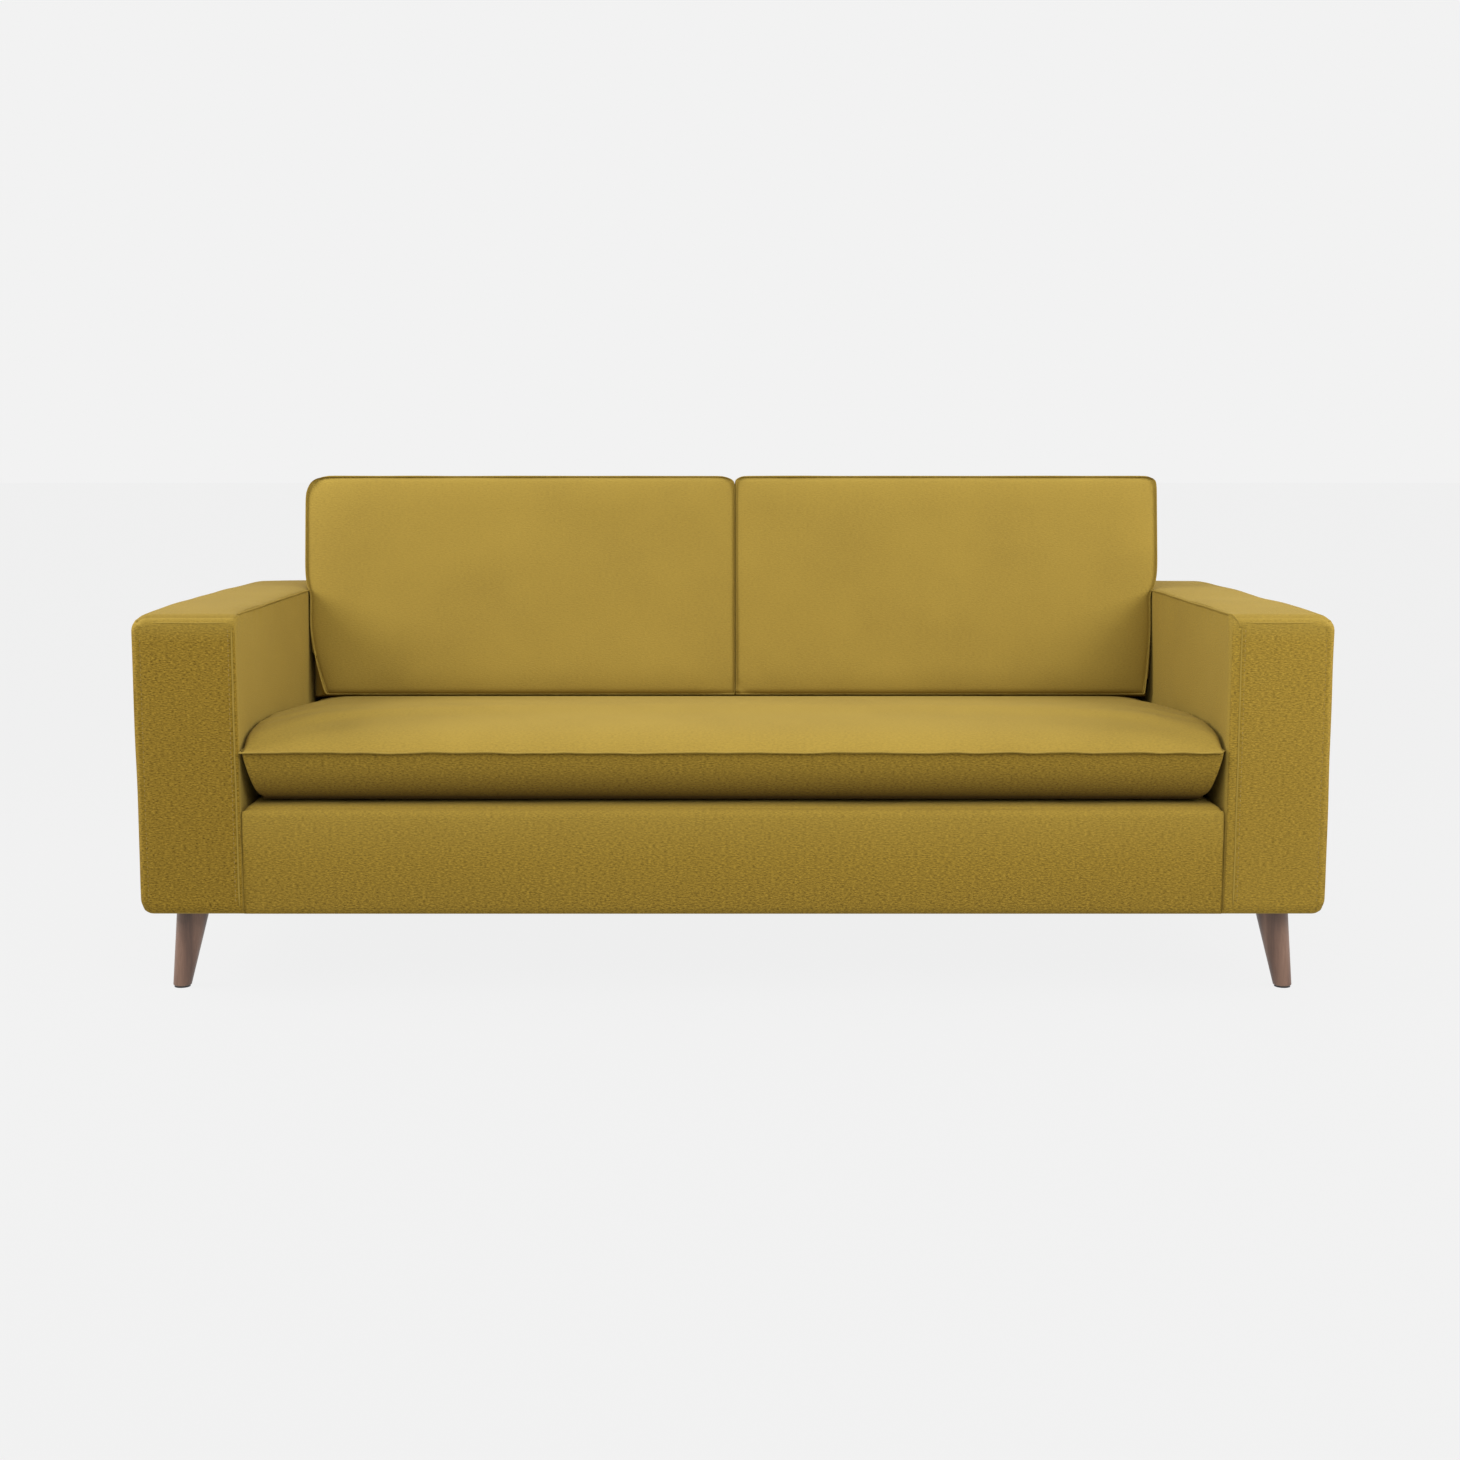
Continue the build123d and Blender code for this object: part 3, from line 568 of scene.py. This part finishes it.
low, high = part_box("border_cover")
border, flat = block("front_border", stops(low.x, high.x, 0.014, 0.003, 0.024),
                     stops(low.y, high.y, 0.012), stops(low.z, high.z, 0.01, 0.003, 0.024))
points = flat.copy()
fronts = on_side(flat, Y, -1)
tops = on_side(flat, Z, 1)
face_y = low.y + 0.002
points[fronts, Y] -= 0.004 * middle_swell(flat, Y, 6)[fronts] - 0.002
for end in (low.x, high.x):
    facing = -1 if end < 0 else 1
    round_edge(points, X, end, facing, Z, high.z, 1, 0.02)
    round_edge(points, X, end, facing, Y, face_y, -1, 0.005)
round_edge(points, Y, face_y, -1, Z, high.z, 1, 0.02)
round_edge(points, Y, face_y, -1, Z, low.z, -1, 0.01)
points[fronts, Y] += 0.0022 * drift(flat, 0.2, 11)[fronts]
for end in (low.x, high.x):
    points[fronts, Y] += pucker(flat, Z, np.abs(flat[:, X] - end), 12, 0.002, 0.02)[fronts]
points[fronts, Y] += pucker(flat, X, np.abs(flat[:, Z] - low.z), 13, 0.0015, 0.016)[fronts]
points[tops, Z] += 0.0012 * drift(flat, 0.12, 14)[tops] - 0.0012
points[:, X] *= 1 + 0.002 / high.x
roll_under(points, flat[:, Y] - low.y, flat[:, Z] - low.z)
reshape(border, points, cloth)
# Painted shade on the front, growing darker towards the bottom, and the weave coarser and browner lower down,
# partly painted shade.
paint_shade(border, np.where(fronts, 0.2 * np.clip((high.z - 0.02 - flat[:, Z]) / 0.15, 0, 1), 0.0),
        0.35 + 0.45 * np.clip((high.z - flat[:, Z]) / 0.1, 0, 1))
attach(border, "base")
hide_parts("border_cover", "border_foam")


# ------------------------------------------------------------------ deck
# A plain lining cloth lies over thin foam under the seat cushion, sewn to the front border
# and pulled tight to the rails.

lining = fibres("deck_lining", (0.2, 0.125, 0.02), (0.33, 0.22, 0.045), (0.5, 1.0, 1.0), 900.0)
low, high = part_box("deck_cloth")
deck, flat = block("deck_lining_cloth", stops(low.x, high.x, 0.02), stops(low.y, high.y, 0.02),
                   np.array([low.z, high.z]))
points = flat.copy()
dip = middle_swell(flat, Z, 6) * (0.001 + 0.0006 * drift(flat, 0.09, 21))
points[:, Z] -= dip
reshape(deck, points, lining)
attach(deck, "base")
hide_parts("deck_cloth", "deck_foam")


# ------------------------------------------------------------------ back
# Foam over the webbing and the top rail, in one inside panel that runs over the top, and a
# plain outside panel below it that is tacked along the top and stapled under the body. Both
# stand a little clear of the timber, so that no post or rail shows through.

low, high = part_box("inside_back_cover")
lean = math.tan(math.radians(9))
back_foot, foot_z = low.y, 0.335
clear = 0.0012
back, flat = block("inside_back", stops(low.x, high.x, 0.014), stops(0.0, 1.0, 0.12, 0.03, 0.12),
                   stops(0.337, high.z, 0.013))
points = flat.copy()
rear_y = high.y + 0.0005
front_y = back_foot + (points[:, Z] - foot_z) * lean + 0.001
points[:, Y] = front_y + flat[:, Y] * (rear_y - front_y)
fronts = on_side(flat, Y, -1)
tops = on_side(flat, Z, 1)
points[fronts, Y] -= 0.001 * middle_swell(flat, Y, 6)[fronts]
crest_y = back_foot + (high.z - foot_z) * lean + 0.001
bend, bend_in = 0.026, 0.022
round_edge(points, Y, rear_y, 1, Z, high.z, 1, bend_in)
near_crest = (points[:, Z] > high.z - bend) & (points[:, Y] < crest_y + 0.03)
rise = np.clip((points[:, Z] - (high.z - bend)) / bend, 0, 1)
points[near_crest & fronts, Y] += (1 - np.sqrt(1 - rise ** 2))[near_crest & fronts] * bend_in
points[tops, Z] += 0.0012 * drift(flat, 0.15, 31)[tops] - 0.0014
points[:, X] *= 1 + clear / high.x
reshape(back, points, cloth)
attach(back, "base")
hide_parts("inside_back_cover", "back_foam")

low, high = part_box("outside_back_cover")
outside, flat = block("outside_back", stops(low.x, high.x, 0.016), np.array([low.y, high.y]),
                      stops(low.z, high.z, 0.014))
points = flat.copy()
points[:, Y] += 0.0014 * middle_swell(flat, Y, 4) * (1 + drift(flat, 0.17, 33)) + 0.001
points[:, Y] += pucker(flat, X, np.abs(flat[:, Z] - high.z), 34, 0.001, 0.018)
points[:, X] *= 1 + clear / high.x
reshape(outside, points, cloth)
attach(outside, "base")
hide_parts("outside_back_cover")
tacked_y, tacked_z = high.y - 0.0025, high.z + 0.0015
tacked = line((low.x + 0.003, tacked_y, tacked_z), (high.x - 0.003, tacked_y, tacked_z))
tack_seam = welt("outside_back_welt", tacked, [Vector((0, 1, 0))] * len(tacked), 0.0035, 0.003, 0.0003)
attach(tack_seam, "base")


# ------------------------------------------------------------------ dust cover
# Thin black spun-bonded cloth that closes the underside, cut round the leg plates and held by
# staples all round its edge.

dust = fibres("dust_cloth", (0.008, 0.008, 0.008), (0.026, 0.026, 0.027), (1.0, 1.0, 1.0), 700.0)
low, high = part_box("dust_cover")
plate_x, plate_ys, plate_half = 0.958, (-0.379, 0.387), 0.037
xs = np.unique(np.round(np.concatenate([np.linspace(low.x, high.x, 68)] + [
    [x - plate_half, x + plate_half] for x in (-plate_x, plate_x)]), 5))
ys = np.unique(np.round(np.concatenate([np.linspace(low.y, high.y, 30)] + [
    [y - plate_half, y + plate_half] for y in plate_ys]), 5))
points, faces, number = [], [], {}


def dust_corner(i, j, layer):
    """The number of one corner of the cloth, made when first asked for."""
    if (i, j, layer) not in number:
        number[i, j, layer] = len(points)
        sag = 0.0012 * noise.noise(Vector((xs[i] * 8, ys[j] * 8, 0))) ** 2 if 0 < i < len(xs) - 1 else 0.0
        points.append((xs[i], ys[j], (low.z, high.z)[layer] - sag * (layer == 0)))
    return number[i, j, layer]


def cloth_at(i, j):
    """Whether the cell holds cloth: inside the cover and not in a cut-out for a leg plate."""
    if not (0 <= i < len(xs) - 1 and 0 <= j < len(ys) - 1):
        return False
    x, y = (xs[i] + xs[i + 1]) / 2, (ys[j] + ys[j + 1]) / 2
    return not (abs(abs(x) - plate_x) < plate_half and min(abs(y - at) for at in plate_ys) < plate_half)


for i in range(len(xs) - 1):
    for j in range(len(ys) - 1):
        if not cloth_at(i, j):
            continue
        ring = [(i, j), (i + 1, j), (i + 1, j + 1), (i, j + 1)]
        faces.append([dust_corner(*c, 1) for c in ring])
        faces.append([dust_corner(*c, 0) for c in reversed(ring)])
        beside = [(i, j - 1), (i + 1, j), (i, j + 1), (i - 1, j)]
        for k in range(4):
            if not cloth_at(*beside[k]):
                a, b = ring[k], ring[(k + 1) % 4]
                faces.append([dust_corner(*a, 0), dust_corner(*b, 0), dust_corner(*b, 1), dust_corner(*a, 1)])
cover = mesh_piece("dust_cover_cloth", points, faces, dust)
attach(cover, "base")
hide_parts("dust_cover")

spacing, inset = 0.055, 0.009
half, thin, drop, bent = 0.006, 0.0005, 0.0006, 0.0008
staple_path = []
for x in np.arange(low.x + 0.03, high.x - 0.03, spacing):
    staple_path += [(x, low.y + inset, False), (x, high.y - inset, False)]
for y in np.arange(low.y + 0.05, high.y - 0.05, spacing):
    staple_path += [(low.x + inset, y, True), (high.x - inset, y, True)]
points, faces = [], []
for x, y, turned in staple_path:
    first = len(points)
    for dx in (-half, -half + bent, half - bent, half):
        sink = 0.0004 if abs(dx) == half else 0.0
        for across, down in ((-thin, 0), (thin, 0), (thin, drop), (-thin, drop)):
            u, v = (across, -dx) if turned else (dx, across)
            points.append((x + u, y + v, low.z + 0.0003 - down + sink))
    faces += tube(first, 4, 4)
staples = mesh_piece("dust_cover_staples", points, faces, zinc)
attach(staples, "base")


# ------------------------------------------------------------------ seat cushion
# One long foam cushion in a loose cover. A flat flange is sewn into the seam round its top
# panel, the top is crowned, and the boxing below leans in to a soft lower edge.

def stuff(piece, pressure, cap, held=None):
    """Fills the cover from inside so that its cloth swells and gathers. No point moves past cap,
    and held says, 0 to 1, how firmly a seam keeps it."""
    start = np.zeros(len(piece.data.vertices) * 3, np.float32)
    piece.data.vertices.foreach_get("co", start)
    start = start.reshape(-1, 3).astype(float)
    cloth_part = piece.modifiers.new("filling", "CLOTH")
    settings = cloth_part.settings
    settings.quality = 6
    settings.mass = 0.35
    settings.tension_stiffness = settings.compression_stiffness = 18
    settings.shear_stiffness = 8
    settings.bending_stiffness = 0.6
    settings.use_pressure = True
    settings.uniform_pressure_force = pressure
    settings.effector_weights.gravity = 0
    cloth_part.collision_settings.use_collision = False
    if held is not None:
        group = piece.vertex_groups.new(name="held")
        for share in np.unique(np.round(held[held > 0], 2)):
            members = np.nonzero(np.abs(held - share) < 0.005)[0]
            group.add([int(i) for i in members], float(share), "REPLACE")
        settings.vertex_group_mass = "held"
    for step in range(1, 21):
        bpy.context.scene.frame_set(step)
    swollen = piece.evaluated_get(bpy.context.evaluated_depsgraph_get())
    end = np.zeros(len(start) * 3, np.float32)
    swollen.data.vertices.foreach_get("co", end)
    moved = end.reshape(-1, 3) - start
    piece.modifiers.remove(cloth_part)
    bpy.context.scene.frame_set(1)
    far = np.linalg.norm(moved, axis=1)
    limit = cap * np.tanh(far / cap) / np.maximum(far, 1e-9)
    reshape(piece, start + moved * limit[:, None])


def soften(piece):
    """Rounds the piece off between its points."""
    smoother = piece.modifiers.new("smooth", "SUBSURF")
    smoother.levels = smoother.render_levels = 1


def rise_from_edge(distance, width):
    """0 at an edge, curving up to 1 over that width, as a stuffed panel does."""
    share = np.clip(distance / width, 0, 1)
    return np.sqrt(1 - (1 - share) ** 2)


low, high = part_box("seat_cushion_cover")
flange_z, underside = 0.430, low.z + 0.002
side_x = high.x - 0.001
seat, flat = block("seat_cushion", stops(-side_x, side_x, 0.0135, 0.005, 0.02),
                   stops(low.y + 0.006, high.y - 0.003, 0.0135, 0.005, 0.02),
                   stops(underside, flange_z, 0.011, 0.004, 0.012))
points = flat.copy()
tops = on_side(flat, Z, 1)
nose, tail = flat[:, Y].min(), flat[:, Y].max()
into = flat[:, Y] - nose
depth_share = into / (tail - nose)
crest = np.interp(
    into, (0, 0.012, 0.04, 0.08, 0.13, 0.24, 0.4, 0.52, 0.6, 0.7, tail - nose - 0.03, tail - nose),
    (flange_z, 0.448, 0.464, 0.472, 0.476, 0.475, 0.464, 0.453, 0.447, 0.444, 0.442, flange_z))
shoulder = np.maximum(crest - 0.012 - flange_z, 0) * np.clip(into / 0.03, 0, 1)
inward = rise_from_edge(side_x - np.abs(flat[:, X]), 0.03)
points[tops, Z] = (flange_z + shoulder + (crest - flange_z - shoulder) * inward)[tops]
below = np.clip((flange_z - flat[:, Z]) / (flange_z - low.z), 0, 1)
flanks = on_side(flat, X, 1) | on_side(flat, X, -1)
points[flanks, Z] = (flat[:, Z] + shoulder * (1 - below) ** 2)[flanks]
points[:, X] -= (np.sign(flat[:, X]) * 0.024 * below ** 1.2 * (np.abs(flat[:, X]) / side_x) ** 8
                 * (1 - depth_share) ** 2)
points[:, Y] += (0.034 * below ** 1.2 - 0.006 * np.sin(below * math.pi)) * (1 - depth_share) ** 8
for at, facing in ((nose + 0.034, -1), (tail, 1)):
    round_edge(points, Y, at, facing, Z, underside, -1, 0.024)
for end in (-1, 1):
    round_edge(points, X, end * (side_x - 0.012), end, Z, underside, -1, 0.02)
reshape(seat, points, cloth)
ring = (np.abs(flat[:, Z] - flange_z) < 1e-6) & (
    (np.abs(np.abs(flat[:, X]) - side_x) < 1e-6) | (np.abs(flat[:, Y] - nose) < 1e-6)
    | (np.abs(flat[:, Y] - tail) < 1e-6))
held = np.where(ring, 1.0, 0.0)
held[flanks | on_side(flat, Z, -1) | on_side(flat, Y, 1)] = 0.95
stuff(seat, 1.3, 0.007, held)
# Painted shade on the boxing and sides: a painted shadow just under the flange, darker again towards the
# bottom, and darker still on the underside. The weave shows coarser and browner there too, partly painted
# shade.
boxed = on_side(flat, Y, -1) & ~tops
flange_shadow = 0.3 * np.exp(-below / 0.07)
boxing_shade = 0.16 + 0.72 * below ** 2 + flange_shadow
paint_shade(seat, np.where(boxed | flanks, boxing_shade, 0.0) + 0.9 * on_side(flat, Z, -1),
        np.where(boxed | flanks, 0.8, 0.08))
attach(seat, "seat_cushion")
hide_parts("seat_cushion_cover", "seat_cushion_core")
soften(seat)

edge_y, edge_tail = low.y + 0.007, high.y - 0.006
edge_x = side_x - 0.002
path, outs = [], []
for start, end, out in (((-edge_x, edge_tail), (-edge_x, edge_y + 0.012), (-1, 0.0)),
                        ((-edge_x - 0.006, edge_y - 0.001), (edge_x + 0.006, edge_y - 0.001), (0.0, -1)),
                        ((edge_x, edge_y + 0.012), (edge_x, edge_tail), (1, 0.0)),
                        ((edge_x, edge_tail), (-edge_x, edge_tail), (0.0, 1))):
    run = line((*start, flange_z), (*end, flange_z), 0.011)[:-1]
    for i, point in enumerate(run):
        wave = noise.noise(Vector((point.x * 5.5, point.y * 5.5, 2.2)))
        small = noise.noise(Vector((point.x * 21, point.y * 21, 4.4)))
        path.append(point + Vector((0, 0, 0.0022 * wave + 0.0012 * small - 0.001)))
        outs.append(Vector((*out, 0.12 + 0.25 * small)))
flange = welt("seat_cushion_flange", path, outs, 0.0095, 0.0036, 0.0004, closed=True)
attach(flange, "seat_cushion")


# ------------------------------------------------------------------ back cushions
# Two fibre-filled cushions that lean on the back. Each has a front and a back panel joined by
# a boxing strip, with a welt in the seam round the front panel. Above the arms they swell out.

tilt = math.radians(9)
up_lean = Vector((0, math.sin(tilt), math.cos(tilt)))
out_lean = Vector((0, -math.cos(tilt), math.sin(tilt)))

for side_name, side, outer_round, inner_round, tucked, proud in (
        ("left", -1, 0.045, 0.03, 0.036, 0.01), ("right", 1, 0.022, 0.02, 0.014, 0.014)):
    body = f"{side_name}_back_cushion"
    low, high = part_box(f"{body}_cover")
    foot = Vector((0, low.y + 0.006, 0.4565))
    tall = 0.449
    thick = 0.184
    x_low, x_high = low.x - 0.0005, high.x + 0.0005
    cushion, flat = block(body, stops(x_low, x_high, 0.0105, 0.004, 0.016),
                          stops(0.0, thick, 0.0115, 0.004, 0.016), stops(0.0, tall, 0.0105, 0.004, 0.016))
    local = flat.copy()
    middle_x, half_x = (x_low + x_high) / 2, (x_high - x_low) / 2
    outer_x, inner_x = (x_low, x_high) if side < 0 else (x_high, x_low)
    fronts = on_side(flat, Y, -1)
    backs = on_side(flat, Y, 1)
    crown = (rise_from_edge(half_x - np.abs(flat[:, X] - middle_x), 0.09)
             * rise_from_edge(flat[:, Z], 0.06) * rise_from_edge(tall - flat[:, Z], 0.07))
    near_inner = np.clip(1 - np.abs(flat[:, X] - inner_x) / 0.12, 0, 1)
    local[fronts, Y] += (0.014 * (1 - crown))[fronts]
    local[backs, Y] -= (0.006 * (1 - crown))[backs]
    foot_share = np.clip(1 - flat[:, Z] / 0.15, 0, 1) ** 1.5
    near_outer = np.clip(1 - np.abs(flat[:, X] - outer_x) / 0.1, 0, 1) ** 2
    near_front = np.clip(1 - flat[:, Y] / 0.055, 0, 1)
    local[:, X] -= side * tucked * foot_share * near_outer * near_front
    above_arm = rise_from_edge(flat[:, Z] - 0.212, 0.06)
    local[:, X] += side * proud * above_arm * near_outer
    round_edge(local, X, outer_x + side * proud, side, Z, tall, 1, outer_round)
    round_edge(local, X, inner_x, -side, Z, tall, 1, inner_round)
    round_edge(local, Y, 0.01, -1, Z, tall, 1, 0.018)
    round_edge(local, Y, 0.012, -1, Z, 0.0, -1, 0.016)
    round_edge(local, X, inner_x, -side, Y, 0.012, -1, 0.005)
    folds = np.array([noise.noise(Vector((p[X] * 60 + p[Z] * 60 * side, side, 0))) for p in flat])
    local[fronts, Y] += 0.006 * (near_inner * foot_share * folds)[fronts]
    heel = 0.036
    over = np.clip((local[:, Y] - (thick - heel)) / heel, 0, 1)
    local[:, Z] = np.maximum(local[:, Z], over * 0.034)
    shift = np.outer(local[:, Z], up_lean) - np.outer(local[:, Y], out_lean)
    points = np.array(foot) + shift
    points[:, X] = local[:, X]
    points += np.outer(0.0022 * drift(flat, 0.13, 41 + side) * fronts, np.array(out_lean))
    reshape(cushion, points, cloth)
    edge = ((np.abs(flat[:, X] - x_low) < 1e-6) | (np.abs(flat[:, X] - x_high) < 1e-6)
            | (np.abs(flat[:, Z]) < 1e-6) | (np.abs(flat[:, Z] - tall) < 1e-6))
    held = np.where(edge, 1.0, 0.0)
    stuff(cushion, 2.2, 0.012, held)
    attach(cushion, body)
    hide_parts(f"{body}_cover", f"{body}_filling")
    soften(cushion)

    across, upward = np.unique(flat[fronts, X]), np.unique(flat[fronts, Z])
    corners = [(x, 0.0) for x in across] + [(x_high, z) for z in upward[1:]]
    corners += [(x, tall) for x in across[-2::-1]] + [(x_low, z) for z in upward[-2:0:-1]]
    seam_points = [int(np.argmin(np.abs(flat[:, X] - x) + np.abs(flat[:, Z] - z) + ~fronts))
                   for x, z in corners]
    skin = skin_of(cushion)
    found = [skin.find_nearest(cushion.data.vertices[i].co) for i in seam_points]
    seam = welt(f"{body}_welt", [f[0] for f in found], [f[1] for f in found], 0.0034, 0.003, 0.0005,
                closed=True)
    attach(seam, body)


# ------------------------------------------------------------------ zips
# A coil zip on a woven tape is sewn into the back of each cushion's boxing, so that the cover
# comes off for cleaning. The slider that runs on it keeps its own shape.

tape_cloth = fibres("zip_tape", (0.2, 0.125, 0.02), (0.36, 0.24, 0.05), (1.0, 6.0, 6.0), 800.0)
coil_nylon = new_material("zip_coil", 0.4)
shade = add_node(coil_nylon, "TexNoise", {"Scale": 500.0, "Detail": 2.0}).outputs["Fac"]
to_shader(coil_nylon, Normal=bumped(coil_nylon, shade, 0.15, 0.0002),
          Base_Color=tones(coil_nylon, shade, (0.3, (0.2, 0.12, 0.012)), (0.7, (0.3, 0.19, 0.03))))
pitch, turns, wire = 0.003, 5, 0.00045
arch = ((-0.0029, 0.0007), (-0.0016, 0.00105), (0.0, 0.0011), (0.0016, 0.00105), (0.0029, 0.0007))

for place in ("seat_cushion", "left_back_cushion", "right_back_cushion"):
    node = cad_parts[f"{place}_zip"]
    spots = np.array([node.matrix_world @ v.co for v in node.data.vertices])
    widest = max(node.data.polygons, key=lambda f: f.area)
    out = (node.matrix_world.to_3x3() @ widest.normal).normalized()
    out = np.array(out if out.y > 0 else -out)
    side_way = np.cross(out, (1.0, 0.0, 0.0))
    start_x, end_x = spots[:, X].min(), spots[:, X].max()
    base = (spots @ out).min()
    middle = ((spots @ side_way).min() + (spots @ side_way).max()) / 2

    tape, flat = block(f"{place}_zip_tape", stops(start_x, end_x, 0.01, 0.003, 0.009),
                       np.linspace(-0.012, 0.012, 13), np.array([0.0, 0.0008]))
    wave = 0.0001 * drift(flat, 0.02, 71)
    spread = flat[:, Z] * (0.75 + 0.2 * np.cos(flat[:, Y] * 1400)) + wave * (flat[:, Z] > 0)
    points = np.outer(flat[:, Y] + middle, side_way) + np.outer(spread + base, out)
    points[:, X] = flat[:, X]
    reshape(tape, points, tape_cloth)
    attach(tape, place)
    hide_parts(f"{place}_zip")

    points, faces = [], []
    for tooth, x in enumerate(np.arange(start_x + 0.006, end_x - 0.006, pitch)):
        first = len(points)
        lean_x = 0.0006 if tooth % 2 else -0.0006
        for across, lift in arch:
            for k in range(turns):
                turn = 2 * math.pi * k / turns
                spot = side_way * (middle + across) + out * (base + lift + wire * math.cos(turn))
                spot[X] = x + lean_x * across / arch[-1][0] + 2 * wire * math.sin(turn)
                points.append(spot)
        faces += tube(first, len(arch), turns)
    coil = mesh_piece(f"{place}_zip_coil", points, faces, coil_nylon)
    coil.data.shade_smooth()
    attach(coil, place)


# ------------------------------------------------------------------ studio
# A wide pale floor, soft white light all round, and four soft lights: one high in front, one
# at each side, the left the stronger, and one at the right front.

floor_material = new_material("studio_floor", 0.85)
mottle = add_node(floor_material, "TexNoise", {"Scale": 0.6, "Detail": 2.0}).outputs["Fac"]
to_shader(floor_material, Emission_Color=(1, 1, 1, 1), Emission_Strength=0.855, Specular_IOR_Level=0.0,
          Base_Color=tones(floor_material, mottle, (0.3, (0.0145,) * 3), (0.7, (0.0155,) * 3)))
reach = 60.0
corners = [(-reach, -reach, 0), (reach, -reach, 0), (reach, reach, 0), (-reach, reach, 0)]
floor = mesh_piece("studio_floor", corners, [(0, 1, 2, 3)], floor_material)

world = bpy.data.worlds.new("studio")
world.use_nodes = True
world.node_tree.nodes["Background"].inputs["Color"].default_value = (1, 1, 1, 1)
world.node_tree.nodes["Background"].inputs["Strength"].default_value = 0.888
bpy.context.scene.world = world


def soft_light(name, place, aim, size, power):
    """A square soft light at a place, turned to a point."""
    lamp = bpy.data.lights.new(name, "AREA")
    lamp.size = size
    lamp.energy = power
    made = put_in(name, lamp)
    made.location = place
    made.rotation_euler = (Vector(aim) - Vector(place)).to_track_quat("-Z", "Y").to_euler()


soft_light("high_front_light", (0, -2.6, 2.8), (0, 0, 0.4), 2.4, 50)
soft_light("left_light", (-2.7, -0.4, 1.9), (0.5, 0, 0.5), 1.4, 81)
soft_light("right_light", (2.7, -0.4, 1.9), (-0.5, 0, 0.5), 1.4, 57)
soft_light("right_front_light", (2.2, -2.8, 2.0), (0.3, 0, 0.4), 1.6, 36)

camera_data = bpy.data.cameras.new("camera")
camera_data.sensor_width = 36
camera_data.lens = 49.3
camera_data.shift_x = 0.0103
camera_data.shift_y = -0.0192
camera = put_in("camera", camera_data)
camera.location = (-0.031, -3.871, 0.942)
camera.rotation_euler = (math.radians(90 - 7.1), 0, 0)
bpy.context.scene.camera = camera
bpy.context.scene.view_settings.view_transform = "Standard"
